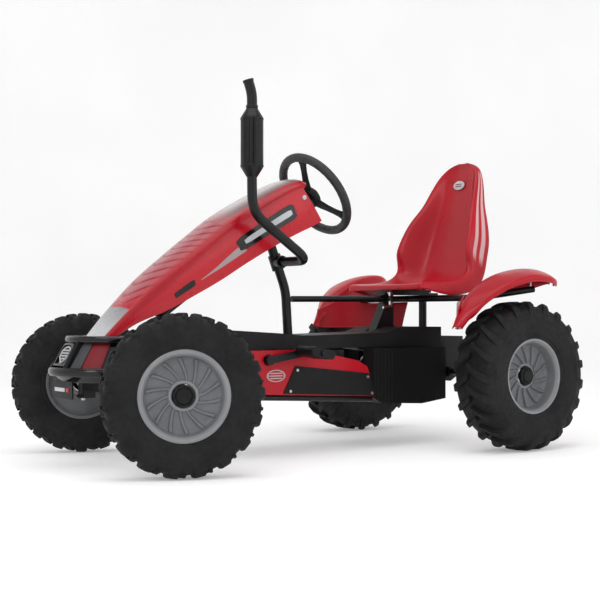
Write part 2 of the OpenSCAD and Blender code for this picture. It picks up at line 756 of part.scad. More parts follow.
// Long black cover over the spine, open below
module centre_cover() {
    front = y_front + 250;
    back = y_rear - 48;
    x = cover_x - 30;
    outline = [
        [front, spine_top - 30], [front + 20, spine_top + 24], [y_post - 100, spine_top + 15],
        [y_post - 22, spine_top + 8], [y_post + 40, spine_top + 8], [y_stand - 110, spine_top + 14],
        [y_stand - 60, spine_top + 30], [back, spine_top + 30], [back, spine_top - 30]
    ];
    inner = [for (p = outline) [p[0], p[1] - panel_t]];
    color(black_plastic) difference() {
        side_plate_shape(outline, -x, x);
        side_plate_shape(concat(inner, [[back + 9, spine_top - 34], [front - 9, spine_top - 34]]),
            -x + panel_t, x - panel_t);
        block([-x + panel_t, back - 9, spine_top - 40], [x - panel_t, back + 9, spine_top + 26]);
        block([-spine_w / 2 - 2, front - 9, spine_top - 40], [spine_w / 2 + 2, front + 40, spine_top + 1]);
        // ways through for the steering post and the seat supports
        translate([0, y_post, spine_top]) cylinder(r = post_d / 2 + 10, h = 60);
        block([-20, y_stand - 98, spine_top], [20, y_stand - 9, spine_top + 60]);
        translate([0, y_stand + 125, spine_top]) cylinder(r = 15, h = 60);
        both_sides() block([drop_x - 2, y_hub - 34, spine_top - 60], [drop_x + plate_t + 2, back + 9, spine_top + 3]);
    }
}

// Red side cover with a rim that turns in at the top
module side_cover(side) {
    front = y_crank - 92;
    low = rail_r + gap;
    outline = [
        [front, rail_z(front) + low], [front, spine_top - 32], [y_post - 40, spine_top - 32],
        [y_post + 76, spine_top - 50], [cover_back - 58, spine_top - 66],
        [cover_back - 24, spine_top - 84], [cover_back - 16, spine_top - 104],
        [cover_back, rail_z(cover_back) + low]
    ];
    mirror([side < 0 ? 1 : 0, 0, 0]) color(red) difference() {
        union() {
            side_plate_shape(outline, cover_x - panel_t, cover_x);
            block([cover_x - 32, front, spine_top - 32 - panel_t], [cover_x, y_post - 40, spine_top - 32]);
        }
        translate([0, y_crank, crank_z]) rod_x(crank_d / 2 + 8, cover_x - 40, cover_x + 10);
    }
}
module side_cover_left() side_cover(1);
module side_cover_right() side_cover(-1);

plate_corners = [
    [y_crank + 91, 252], [cover_back - 20, 224], [cover_back + 2, 158], [y_crank + 50, 176]
];

module side_plate(side) {
    mirror([side < 0 ? 1 : 0, 0, 0]) color(black_plastic)
        side_plate_shape(plate_corners, cover_x, cover_x + 3);
}
module side_plate_left() side_plate(1);
module side_plate_right() side_plate(-1);

rivet_places = [
    [y_crank + 96, 240], [y_crank + 72, 182], [cover_back - 26, 214], [cover_back - 10, 166]
];

module plate_rivets() {
    color(zinc) both_sides() for (p = rivet_places)
        translate([0, p[0], p[1]]) rod_x(4, cover_x + 3, cover_x + 6);
}

// Black housing round the hub gear, open above and behind
module gear_cover() {
    front = cover_back + 6;
    back = y_rear - 50;
    x = cover_x - 8;
    top = spine_top - 31;
    low = 126;
    outline = [
        [front, top], [front, rail_z(front) + 4], [front + 30, low + 8], [front + 190, low],
        [back, low + 12], [back, top]
    ];
    inner = [
        [front + panel_t, top + 9], [front + panel_t, rail_z(front) + 8],
        [front + 32, low + 8 + panel_t], [front + 190, low + panel_t],
        [back + 9, low + 12 + panel_t], [back + 9, top + 9]
    ];
    color(black_plastic) difference() {
        side_plate_shape(outline, -x, x);
        side_plate_shape(inner, -x + panel_t, x - panel_t);
        // ways through the front wall for the spine and the chain
        block([-spine_w / 2 - 2, front - 9, top - 10], [spine_w / 2 + 2, front + 9, top + 9]);
        block([chain_x - 12, front - 9, z_hub - 60], [chain_x + 12, front + 9, top + 9]);
    }
}

// ---------- hood and nose ----------

// Half cross-section of the hood: foot, crease and crown heights, half width
function hood_section(low, crease, top, w, t) = [
    [w - t, low], [w - t - 2, crease - t], [w * 0.68 - t * 0.6, crease + (top - crease) * 0.62 - t],
    [w * 0.36, top - 3 - t], [0, top - t]
];
module hood_slice(y, low, crease, top, w, t) {
    half = hood_section(low, crease, top, w, t);
    translate([0, y, 0]) rotate([90, 0, 0]) linear_extrude(0.1)
        polygon(concat(half, [for (i = [len(half) - 2 : -1 : 0]) [-half[i][0], half[i][1]]]));
}
// Stations along the hood: place, foot, crease, crown, half width
hood_stations = [
    [y_front - 104, bar_z + 88, bar_z + 95, bar_z + 100, hood_w * 0.37],
    [y_front + 126, steering_z - 321, steering_z - 249, steering_z - 189, hood_w * 0.45],
    [y_front + 381, steering_z - 181, steering_z - 68, steering_z - 19, hood_w * 0.48],
    [y_front + 568, steering_z - 86, steering_z + 24, steering_z + 38, hood_w * 0.5]
];
module hood_body(t, drop) {
    for (i = [0 : 2]) {
        a = hood_stations[i];
        b = hood_stations[i + 1];
        hull() {
            hood_slice(a[0], a[1] - drop, a[2], a[3], a[4], t);
            hood_slice(b[0], b[1] - drop, b[2], b[3], b[4], t);
        }
    }
}
module hood() {
    rear = y_front + 568;
    color(red) difference() {
        hood_body(0, 0);
        hood_body(panel_t, 20);
        // slanted rear edge and open rear end
        side_plate_shape([[rear + 2, steering_z - 92], [rear - 42, steering_z + 45], [rear + 2, steering_z + 78]], -hood_w, hood_w);
    }
}

nose_r = 133;
bumper_y = y_front - (front_overhang - nose_r);
module half_disc(r, y, z, h)
    translate([0, y, z]) linear_extrude(h) intersection() {
        circle(r = r, $fn = 72);
        translate([-r, -r]) square([2 * r, r]);
    }

// Solid between the two bars of the bumper, grown by t
module nose_body(t, low, high)
    hull() {
        half_disc(nose_r - 20 + t, bumper_y, low, 2);
        half_disc(nose_r - 35 + t, bumper_y + 28, high, 2);
    }

// Bumper: a rounded nose of two bars joined by a pillar, and a front apron
module bumper() {
    color(black_plastic) difference() {
        union() {
            half_disc(nose_r, bumper_y, bar_z, 22);
            half_disc(nose_r - 15, bumper_y + 31, bar_z + 84, 18);
            nose_body(0, bar_z + 20, bar_z + 84);
            // apron that carries the plate below the lower bar
            block([-70, bumper_y - 104, bar_z - 68], [70, bumper_y - 96, bar_z + 2]);
        }
        // hollow inside, and the place of the hood's nose
        half_disc(nose_r - 48, bumper_y + 30, bar_z - 8, 100);
        block([-hood_w * 0.4, y_front - 106, bar_z + 62], [hood_w * 0.4, bumper_y + 60, bar_z + 107]);
        block([-160, bumper_y - 20, bar_z - 8], [160, bumper_y + 60, bar_z + 80]);
    }
}

module nose_shield() {
    front = bumper_y - nose_r - 1;
    color(rim_grey) hull() {
        block([-26, front + 11, bar_z + 24], [26, front + 21, bar_z + 26]);
        block([-28, front + 52, bar_z + 80], [28, front + 60, bar_z + 83]);
    }
}

// Recessed panels on both sides of the shield
module nose_panels() {
    color(dark_red) both_sides() intersection() {
        difference() {
            nose_body(3, bar_z + 25, bar_z + 80);
            nose_body(0, bar_z + 20, bar_z + 84);
        }
        block([46, bumper_y - nose_r, bar_z + 26], [120, bumper_y - 30, bar_z + 80]);
    }
}

module badge_plate() {
    color(black_steel) block([-62, bumper_y - 107, bar_z - 58], [62, bumper_y - 104, bar_z - 12]);
}

// ---------- exhaust ----------

exhaust_x = 150;
exhaust_y = y_front + 295;
muffler_low = exhaust_top - 242;
muffler_high = exhaust_top - 107;
stack_r = 14;
clamp_y = y_post - 42;
clamp_z = 547;
pipe_back = 18;
pipe_start = post_d / 2 + gap + 1;

module exhaust_pipe() {
    color(black_steel) tube_run([
        [pipe_start, clamp_y, clamp_z], [exhaust_x - 14, clamp_y - pipe_back, clamp_z],
        [exhaust_x, clamp_y - pipe_back - 8, clamp_z + 9], [exhaust_x, exhaust_y + 8, 662],
        [exhaust_x, exhaust_y, 690], [exhaust_x, exhaust_y, muffler_low - 26]
    ], stack_r - 0.5);
}

module muffler() {
    r = muffler_d / 2;
    color(black_steel) translate([exhaust_x, exhaust_y, 0]) {
        translate([0, 0, muffler_low - 26]) cylinder(r1 = stack_r, r2 = r, h = 26);
        translate([0, 0, muffler_low]) cylinder(r = r, h = muffler_high - muffler_low);
        translate([0, 0, muffler_high]) cylinder(r1 = r, r2 = stack_r, h = 26);
    }
}

module exhaust_tip() {
    color(black_steel) difference() {
        tube_run([
            [exhaust_x, exhaust_y, muffler_high + 26], [exhaust_x, exhaust_y, exhaust_top - 40],
            [exhaust_x, exhaust_y - 9, exhaust_top]
        ], stack_r);
        translate([exhaust_x, exhaust_y - 9, exhaust_top - 10]) cylinder(r = stack_r - 3, h = 40);
        block([exhaust_x - 40, exhaust_y - 60, exhaust_top], [exhaust_x + 40, exhaust_y + 40, exhaust_top + 40]);
    }
}

// Sleeve on the leaning part of the post, with a collar for the pipe
module exhaust_clamp() {
    lean = atan2(40, 102);
    skew = atan2(pipe_back, exhaust_x - 14 - pipe_start);
    color(black_steel) translate([0, clamp_y, clamp_z]) difference() {
        union() {
            rotate([lean, 0, 0]) cylinder(r = post_d / 2 + 5, h = 44, center = true);
            translate([pipe_start, 0, 0]) rotate([0, 0, -skew]) rod_x(stack_r + 4, -6, 20);
        }
        rotate([lean, 0, 0]) cylinder(r = post_d / 2 + 0.5, h = 60, center = true);
        translate([pipe_start, 0, 0]) rotate([0, 0, -skew]) rod_x(stack_r, -1, 50);
    }
}

// ---------- fenders ----------

// Top line of a fender, [y, z] from the rear axle's place, front to rear
fender_line = [
    [-206, 140], [-168, 189], [-130, 227], [-92, 256], [-30, 293], [36, 310], [92, 305],
    [141, 285], [164, 270]
];
// Plan of a fender, [x, y] from its inner edge and the rear axle's place
function fender_plan(w, inset) = [
    [inset, -240], [w * 0.39 - inset, -240], [w * 0.39 - inset, -80 - inset * 0.4],
    [w * 0.68 - inset, 16], [w - inset, 62], [w - inset, 100], [w * 0.62 - inset, 162], [inset, 150 - inset]
];
lip_depth = 19;
inner_gap = 12;

// Solid between the fender's top line and the same line lowered by t
module fender_skin(t) {
    top = [for (p = fender_line) p + [y_rear, z_rear]];
    low = [for (i = [len(top) - 1 : -1 : 0]) top[i] - [i < 3 ? -t * 0.8 : 0, i < 3 ? t * 0.6 : t]];
    side_plate_shape(concat(top, low), -1, fender_w + 1);
}
module fender_prism(inset)
    translate([0, y_rear, 0]) linear_extrude(900) polygon(fender_plan(fender_w, inset));

// Slanted guard between the fender's front leg and the seat, with the tube's hole
module fender_guard() {
    run_y = 197;
    run_x = 168;
    len = norm([run_x, run_y]);
    low = z_rear + 137;
    difference() {
        translate([3, y_rear - 205, 0]) rotate([0, 0, atan2(run_y, -run_x)]) rotate([90, 0, 0])
            translate([0, 0, -panel_t]) linear_extrude(panel_t) polygon([
                [0, low], [len - 12, low], [len + 30, z_tube - 10], [len * 0.55, z_tube - 1],
                [len * 0.3, z_tube + 16], [60, z_tube + 10], [8, low + 40]
            ]);
        translate([0, y_tube, z_tube]) rod_x(fender_tube_d / 2 + 2, -300, 100);
    }
}

module fender(side) {
    mirror([side < 0 ? 1 : 0, 0, 0])
        color(red) translate([rear_track / 2 - rear_half - inner_gap, 0, 0]) difference() {
            union() {
                intersection() {
                    fender_skin(panel_t);
                    fender_prism(0);
                }
                intersection() {
                    fender_skin(lip_depth);
                    difference() {
                        fender_prism(0);
                        fender_prism(panel_t);
                    }
                }
                fender_guard();
            }
            // way in for the tube, and the bolt's hole
            block([-9, y_tube - 17, z_tube - 60], [panel_t + 1, y_tube + 20, z_tube + 14]);
            translate([rear_half + inner_gap, y_rear + 46, z_rear + 280]) cylinder(r = 4.3, h = 40);
        }
}
module fender_left() fender(1);
module fender_right() fender(-1);

module fender_bolts() {
    foot = z_rear + 262;
    head = z_rear + 309.7;
    color(zinc) both_sides() translate([rear_track / 2, y_rear + 46, 0]) {
        translate([0, 0, foot]) cylinder(r = 4, h = head - foot);
        translate([0, 0, head]) cylinder(r = 8, h = 4);
    }
}

// ---------- seat ----------

pan_z = z_rail + 16;
pan_lip = z_rail + 4;
y_back = y_seat + seat_len;

// One level of the seat's back: place, half width and depth of the bolsters
module seat_slice(z, y, half, depth, t) {
    r = 22;
    translate([0, y, z]) linear_extrude(0.1) hull() {
        for (x = [-half + r, half - r]) {
            translate([x, -depth + r + t]) circle(r = r - t, $fn = 24);
            translate([x * 0.8, -r]) circle(r = r - t, $fn = 24);
        }
    }
}
module seat_back_body(t, front) {
    half = seat_w / 2;
    levels = [
        [pan_z - 2, y_back + 20, half - 4, 90],
        [pan_z + 150, y_back + 74, half - 16, 104],
        [pan_z + 290, y_back + 98, half * 0.72, 84],
        [seat_top - 6, y_back + 92, half * 0.3, 54]
    ];
    for (i = [0 : 2]) hull() {
        for (l = [levels[i], levels[i + 1]])
            translate([0, -front, 0]) seat_slice(l[0], l[1], l[2], l[3], t);
    }
}

module seat_shell() {
    half = seat_w / 2;
    color(red) difference() {
        union() {
            seat_back_body(0, 0);
            side_plate_shape([
                [y_seat, pan_lip + 6], [y_seat + 6, pan_z + 14], [y_seat + 90, pan_z + 22],
                [y_back, pan_z + 30], [y_back + 20, pan_z + 30], [y_back + 20, pan_z - 2],
                [y_seat + 14, pan_lip + 2]
            ], -half, half);
        }
        seat_back_body(seat_t + 3, 14);
        // hollow of the pan, and the channel below it for the bracket
        side_plate_shape([
            [y_seat + 24, pan_z + 8], [y_back - 50, pan_z + seat_t], [y_back + 8, pan_z + seat_t],
            [y_back + 8, pan_z + 60], [y_seat + 24, pan_z + 60]
        ], -half + 26, half - 26);
        block([-50, y_seat - 9, pan_lip - 20], [50, y_back + 30, pan_z]);
        block([-half + 5, y_seat + 10, pan_lip - 20], [-44, y_back + 30, pan_z]);
        block([44, y_seat + 10, pan_lip - 20], [half - 5, y_back + 30, pan_z]);
    }
}

// Channel that slides along the seat rail
module seat_bracket() {
    low = z_rail + 8 + 0.3;
    color(black_steel) {
        block([-34, y_stand - 34, low], [34, y_stand + 130, pan_z]);
        both_sides() block([20.4, y_stand - 34, z_rail + 1], [25, y_stand + 130, low + 1]);
    }
}

// Sprung lever that frees the seat slide
module seat_lever() {
    y = y_stand - 39;
    z = z_rail + 4;
    color(zinc) {
        translate([0, y, z]) rod_x(3.5, 24, 40);
        side_plate_shape([
            [y + 5, z + 4], [y + 4, z - 40], [y - 30, z - 46], [y - 30, z - 40],
            [y - 4, z - 34], [y - 5, z + 4]
        ], 33, 40);
    }
}

main_frame();
steering_post();
fender_tubes();
column_bearings();
centre_cover();
side_cover_left();
side_cover_right();
side_plate_left();
side_plate_right();
plate_rivets();
gear_cover();
hood();
bumper();
nose_shield();
nose_panels();
badge_plate();
exhaust_pipe();
muffler();
exhaust_tip();
exhaust_clamp();
fender_left();
fender_right();
fender_bolts();
axle_pivot_bolt();
drive_bearings();
hub_axle();
drive_chain();
axle_chain();
front_axle_beam();
kingpins();
knuckle_left();
knuckle_right();
track_rod();
front_tyre_left();
front_rim_left();
front_cap_left();
front_bearings_left();
front_tyre_right();
front_rim_right();
front_cap_right();
front_bearings_right();
rear_tyre_left();
rear_rim_left();
rear_cap_left();
rear_tyre_right();
rear_rim_right();
rear_cap_right();
rear_axle();
axle_sprocket();
hub_gear();
crank();
chainring();
pedal_left();
pedal_right();
steering_shaft();
steering_wheel();
steering_wheel_cap();
seat_shell();
seat_bracket();
seat_lever();
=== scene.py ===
import json
import math

import bmesh
import bpy
from mathutils import Matrix, Vector


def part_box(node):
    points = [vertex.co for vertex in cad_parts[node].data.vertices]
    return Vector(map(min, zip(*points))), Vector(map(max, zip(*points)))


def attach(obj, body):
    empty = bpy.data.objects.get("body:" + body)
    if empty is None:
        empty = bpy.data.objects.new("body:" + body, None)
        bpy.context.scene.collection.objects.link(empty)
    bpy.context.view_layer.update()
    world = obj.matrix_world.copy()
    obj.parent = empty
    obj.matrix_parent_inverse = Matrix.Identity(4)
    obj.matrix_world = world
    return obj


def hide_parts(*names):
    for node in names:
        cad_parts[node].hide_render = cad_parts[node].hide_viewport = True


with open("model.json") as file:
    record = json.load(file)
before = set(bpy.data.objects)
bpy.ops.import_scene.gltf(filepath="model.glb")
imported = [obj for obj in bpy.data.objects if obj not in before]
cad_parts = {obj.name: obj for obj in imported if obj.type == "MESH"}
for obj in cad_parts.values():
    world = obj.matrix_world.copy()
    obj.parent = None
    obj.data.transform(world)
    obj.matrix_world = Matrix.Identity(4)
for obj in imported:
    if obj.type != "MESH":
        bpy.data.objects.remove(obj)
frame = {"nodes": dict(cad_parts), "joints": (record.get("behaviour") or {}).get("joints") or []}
nodes = frame["nodes"]
joints = {j["name"]: j for j in frame["joints"]}
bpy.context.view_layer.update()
sin, cos, pi = math.sin, math.cos, math.pi
SIDES = ((1, "left"), (-1, "right"))


def mid(node):
    lo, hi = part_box(node)
    return (lo + hi) / 2


# Shapes below are written in millimetres. MM puts their front axle, 539 mm
# ahead of their origin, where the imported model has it. ROW_MM is for shapes
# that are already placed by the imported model's own boxes and joints.
Y0 = mid("front_axle_beam").y + 0.539
MM = Matrix.Translation((0, Y0, 0)) @ Matrix.Scale(0.001, 4)
ROW_MM = Matrix.Scale(0.001, 4)


# ------------------------------------------------------------ materials


class Nodes:
    """A material's node tree with short ways to add to it."""

    def __init__(self, name):
        self.mat = bpy.data.materials.new(name)
        self.mat.use_nodes = True
        self.tree = self.mat.node_tree
        self.bsdf = self.tree.nodes["Principled BSDF"]

    def add(self, kind, **sockets):
        n = self.tree.nodes.new(kind)
        for k, v in sockets.items():
            self.put(n.inputs[k.replace("_", " ")], v)
        return n

    def put(self, socket, value):
        if isinstance(value, bpy.types.NodeSocket):
            self.tree.links.new(value, socket)
        else:
            socket.default_value = value

    def set(self, **sockets):
        for k, v in sockets.items():
            self.put(self.bsdf.inputs[k.replace("_", " ")], v)

    def coords(self, kind="Object"):
        return self.add("ShaderNodeTexCoord").outputs[kind]

    def noise(self, scale, detail=3.0):
        n = self.add("ShaderNodeTexNoise", Scale=scale, Detail=detail, Roughness=0.55)
        self.put(n.inputs["Vector"], self.coords())
        return n.outputs["Fac"]

    def math(self, op, a, b=0.0):
        n = self.add("ShaderNodeMath")
        n.operation = op
        self.put(n.inputs[0], a)
        self.put(n.inputs[1], b)
        return n.outputs[0]

    def product(self, *factors):
        out = factors[0]
        for f in factors[1:]:
            out = self.math("MULTIPLY", out, f)
        return out

    def ramp(self, value, lo, hi, to_lo=0.0, to_hi=1.0):
        """Smooth step of value from lo to hi, given out as to_lo to to_hi."""
        n = self.add("ShaderNodeMapRange")
        n.interpolation_type = "SMOOTHSTEP"
        for i, v in enumerate((value, lo, hi, to_lo, to_hi)):
            self.put(n.inputs[i], v)
        return n.outputs[0]

    def mix(self, fac, a, b):
        n = self.add("ShaderNodeMix")
        n.data_type = "RGBA"
        self.put(n.inputs[0], fac)
        self.put(n.inputs[6], (*a, 1) if isinstance(a, tuple) else a)
        self.put(n.inputs[7], (*b, 1) if isinstance(b, tuple) else b)
        return n.outputs[2]

    def bump(self, height, distance):
        n = self.add("ShaderNodeBump", Strength=1.0, Distance=distance, Height=height)
        return n.outputs["Normal"]


def finish_material(
    name, dark, light, rough=(0.35, 0.45), metal=0.0, coat=0.0, coat_rough=0.1,
    patch=9.0, grain=600.0, grain_depth=0.00004, spec=0.22,
):
    """Moulded, painted or plated surface: patchy colour, uneven gloss, fine grain."""
    m = Nodes(name)
    patches = m.noise(patch, 4.0)
    m.set(
        Base_Color=m.mix(m.ramp(patches, 0.3, 0.7), dark, light),
        Roughness=m.ramp(m.noise(patch * 6, 5.0), 0.25, 0.75, rough[0], rough[1]),
        Metallic=metal,
        Coat_Weight=coat,
        Coat_Roughness=coat_rough,
        Normal=m.bump(m.noise(grain, 2.0), grain_depth),
        Specular_IOR_Level=spec,
    )
    return m.mat


RED_DARK, RED_LIGHT = (0.36, 0.001, 0.009), (0.44, 0.002, 0.013)
red = finish_material(
    "red_plastic", RED_DARK, RED_LIGHT, (0.3, 0.4), coat=0.16, coat_rough=0.1,
    patch=4.0, grain=320.0, grain_depth=0.00003,
)
dark_red = finish_material(
    "dark_red_plastic", (0.16, 0.004, 0.01), (0.22, 0.006, 0.014), (0.35, 0.45), coat=0.3,
)
black_plastic = finish_material(
    "black_plastic", (0.004, 0.004, 0.0045), (0.008, 0.008, 0.0085), (0.42, 0.55),
    grain=900.0, grain_depth=0.00006,
)
gloss_black = finish_material(
    "gloss_black_plastic", (0.003, 0.003, 0.0035), (0.006, 0.006, 0.0065), (0.16, 0.24), coat=0.4,
)
black_steel = finish_material(
    "black_powder_coat", (0.003, 0.003, 0.0035), (0.006, 0.006, 0.0065), (0.3, 0.42), coat=0.15,
    grain=420.0, grain_depth=0.00005,
)
rubber = finish_material(
    "tyre_rubber", (0.004, 0.004, 0.0045), (0.010, 0.010, 0.0105), (0.6, 0.78),
    patch=14.0, grain=500.0, grain_depth=0.00018, spec=0.25,
)
badge_pale = finish_material(
    "badge_pale_print", (0.40, 0.30, 0.30), (0.50, 0.40, 0.40), (0.35, 0.5),
)
plate_grey = finish_material(
    "plate_grey_plastic", (0.045, 0.046, 0.05), (0.07, 0.071, 0.076), (0.3, 0.42), coat=0.1,
)
rim_grey = finish_material(
    "rim_grey_plastic", (0.13, 0.133, 0.142), (0.17, 0.173, 0.182), (0.38, 0.5), coat=0.1,
    grain=700.0,
)
rim_light = finish_material(
    "rim_light_ring", (0.20, 0.203, 0.212), (0.24, 0.243, 0.25), (0.34, 0.45), coat=0.1,
)
zinc = finish_material(
    "zinc_plate", (0.42, 0.43, 0.44), (0.58, 0.59, 0.60), (0.26, 0.42), metal=1.0, patch=60.0,
    grain=1200.0, grain_depth=0.00003,
)
chrome = finish_material(
    "chrome", (0.66, 0.67, 0.68), (0.74, 0.75, 0.76), (0.08, 0.16), metal=1.0, grain=90.0,
    grain_depth=0.00001,
)
silver = finish_material(
    "silver_trim", (0.42, 0.43, 0.45), (0.52, 0.53, 0.55), (0.25, 0.35), coat=0.4,
)


def gear_cover_material():
    """Black moulding with upright ribs across its front part."""
    m = Nodes("ribbed_black")
    rib_pitch, ribbed_part = 0.013, 0.42
    y = m.add("ShaderNodeSeparateXYZ", Vector=m.coords()).outputs[1]
    wave = m.math("ABSOLUTE", m.math("SINE", m.math("MULTIPLY", y, pi / rib_pitch)))
    grain = m.noise(900.0, 2.0)
    middle = mid("gear_cover")[1]
    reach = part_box("gear_cover")[1][1] - middle
    front = m.ramp(y, middle - reach * ribbed_part, middle - reach * (ribbed_part + 0.04))
    wave = m.math("MAXIMUM", wave, m.math("SUBTRACT", 1.0, front))
    height = m.math("ADD", m.ramp(wave, 0.1, 0.5), m.math("MULTIPLY", grain, 0.03))
    # painted shade: the grooves between the ribs get the darker colour
    m.set(
        Base_Color=m.mix(m.ramp(wave, 0.0, 0.5), (0.0042, 0.0042, 0.0045), (0.007, 0.007, 0.0075)),
        Roughness=m.ramp(m.noise(50.0), 0.3, 0.7, 0.38, 0.5),
        Specular_IOR_Level=0.12,
        Normal=m.bump(height, 0.0015),
    )
    return m.mat


# ------------------------------------------------------------ mesh code


class Shape:
    """Vertices and faces gathered from several forms, made into one object."""

    def __init__(self):
        self.v, self.f, self.m, self.uv = [], [], [], []

    def add(self, verts, faces, mat=0, M=None, uv=None):
        k = len(self.v)
        self.v += [tuple(M @ Vector(p)) if M else tuple(p) for p in verts]
        self.uv += uv or [(0.0, 0.0)] * len(verts)
        self.f += [tuple(i + k for i in f) for f in faces]
        self.m += [mat] * len(faces)

    def rings(self, rings, close=False, cap=False, loop=False, mat=0, M=None, uv=None):
        n, count = len(rings[0]), len(rings)
        faces = []
        for i in range(count if loop else count - 1):
            a, b = i * n, ((i + 1) % count) * n
            for j in range(n if close else n - 1):
                k = (j + 1) % n
                faces.append((a + j, a + k, b + k, b + j))
        if cap:
            faces.append(tuple(range(n))[::-1])
            faces.append(tuple((count - 1) * n + j for j in range(n)))
        flat = [q for r in uv for q in r] if uv else None
        self.add([p for r in rings for p in r], faces, mat, M, flat)

    def lathe(self, profile, n=96, close=False, mat=0, M=None):
        """Turns (radius, x) points about X."""
        rings = []
        for i in range(n):
            t = 2 * pi * i / n
            rings.append([(x, r * cos(t), r * sin(t)) for r, x in profile])
        self.rings(rings, close=close, loop=True, mat=mat, M=M)

    def box(self, lo, hi, mat=0, M=None):
        v = [(x, y, z) for x in (lo[0], hi[0]) for y in (lo[1], hi[1]) for z in (lo[2], hi[2])]
        f = [(0, 1, 3, 2), (4, 6, 7, 5), (0, 4, 5, 1), (2, 3, 7, 6), (0, 2, 6, 4), (1, 5, 7, 3)]
        self.add(v, f, mat, M)

    def tube(self, points, r, bend, n=32):
        """Round bar along the points, with corners rounded from bend before them."""
        path = rounded(points, bend)
        side = None
        rings = []
        for i, p in enumerate(path):
            d = (path[min(i + 1, len(path) - 1)] - path[max(i - 1, 0)]).normalized()
            if side is None:
                side = d.orthogonal().normalized()
            side = (side - d * side.dot(d)).normalized()
            up = d.cross(side)
            rings.append([p + (side * cos(2 * pi * j / n) + up * sin(2 * pi * j / n)) * r
                          for j in range(n)])
        self.rings(rings, close=True, cap=True)

    def make(self, name, mats, body, world=MM, smooth=35.0, bevel=0.0, subdivide=0, solid=0.0,
             offset=-1.0, stands_for=(), slot=None, segments=2):
        """One object from the shape; bevel and solid are in millimetres."""
        me = bpy.data.meshes.new(name)
        me.from_pydata([tuple(world @ Vector(p)) for p in self.v], [], self.f)
        layer = me.uv_layers.new(name="UVMap")
        for loop in me.loops:
            layer.data[loop.index].uv = self.uv[loop.vertex_index]
        for m in mats if isinstance(mats, (list, tuple)) else [mats]:
            me.materials.append(m)
        for p, m in zip(me.polygons, self.m):
            p.material_index = m
        b = bmesh.new()
        b.from_mesh(me)
        bmesh.ops.recalc_face_normals(b, faces=b.faces)
        b.to_mesh(me)
        b.free()
        for p in me.polygons:
            p.use_smooth = True
        me.set_sharp_from_angle(angle=math.radians(smooth))
        ob = bpy.data.objects.new(name, me)
        bpy.context.scene.collection.objects.link(ob)
        if solid:
            mod = ob.modifiers.new("wall", "SOLIDIFY")
            mod.thickness, mod.offset, mod.use_even_offset = solid / 1000, offset, True
        if subdivide:
            mod = ob.modifiers.new("round", "SUBSURF")
            mod.levels = mod.render_levels = subdivide
        if bevel:
            mod = ob.modifiers.new("edges", "BEVEL")
            mod.width, mod.segments, mod.limit_method = bevel / 1000, segments, "ANGLE"
            mod.angle_limit, mod.harden_normals = math.radians(32), True
        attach(ob, body)
        if stands_for:
            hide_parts(*stands_for)


def rounded(points, bend):
    """The points as a path whose corners are arcs that start bend before them."""
    pts = [Vector(p) for p in points]
    path = [pts[0]]
    for a, p, b in zip(pts, pts[1:], pts[2:]):
        u, v = a - p, b - p
        k = min(bend, u.length * 0.49, v.length * 0.49)
        start, end = p + u.normalized() * k, p + v.normalized() * k
        for i in range(9):
            t = i / 8
            path.append(start * (1 - t) ** 2 + p * 2 * t * (1 - t) + end * t * t)
    path.append(pts[-1])
    return path


def spline(rows, steps):
    """Rows of numbers, smoothly filled in to steps rows."""
    out = []
    n = len(rows)
    for i in range(steps):
        t = i / (steps - 1) * (n - 1)
        k = min(int(t), n - 2)
        f = t - k
        p0, p1, p2, p3 = (rows[max(k - 1, 0)], rows[k], rows[k + 1], rows[min(k + 2, n - 1)])
        out.append([
            0.5 * (2 * b + (c - a) * f + (2 * a - 5 * b + 4 * c - d) * f * f
                   + (3 * b - a - 3 * c + d) * f ** 3)
            for a, b, c, d in zip(p0, p1, p2, p3)
        ])
    return out


def step(x, lo, hi):
    """0 below lo, 1 above hi, smooth between."""
    t = min(max((x - lo) / (hi - lo), 0.0), 1.0)
    return t * t * (3 - 2 * t)


def circle(x, y, z, r, n):
    """n points on a level circle."""
    return [(x + r * cos(2 * pi * i / n), y + r * sin(2 * pi * i / n), z) for i in range(n)]


def polar(degrees):
    """Level unit vector, turned from straight ahead (-Y) towards +X."""
    a = math.radians(degrees)
    return Vector((sin(a), -cos(a), 0))


def lift(z):
    return Vector((0, 0, z))


def along(pos, axis, up=(0, 0, 1)):
    """Matrix in millimetres that lays local +X on axis at pos, +Z near up."""
    x = Vector(axis).normalized()
    z = (Vector(up) - x * Vector(up).dot(x)).normalized()
    y = z.cross(x)
    m = Matrix((x, y, z)).transposed().to_4x4()
    return Matrix.Translation(Vector(pos) * 1000) @ m


def keep(material, *names, bevel=0.0):
    """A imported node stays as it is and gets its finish."""
    for n in names:
        o = nodes[n]
        o.data.materials.clear()
        o.data.materials.append(material)
        if bevel:
            mod = o.modifiers.new("edges", "BEVEL")
            mod.width, mod.segments, mod.limit_method = bevel / 1000, 2, "ANGLE"
            mod.angle_limit = math.radians(35)


# ------------------------------------------------------------ wheels


def bar_sweep(shape, path):
    """Sweeps (x, angle, foot radius, top radius, half width) sections round X."""
    rings = []
    for x, a, r0, r1, w in path:
        ring = []
        for r, k in ((r0, 1.25), (r1, 0.86), (r1, -0.86), (r0, -1.25)):
            t = a + k * w / r
            ring.append((x, r * cos(t), r * sin(t)))
        rings.append(ring)
    shape.rings(rings, close=True, cap=True)


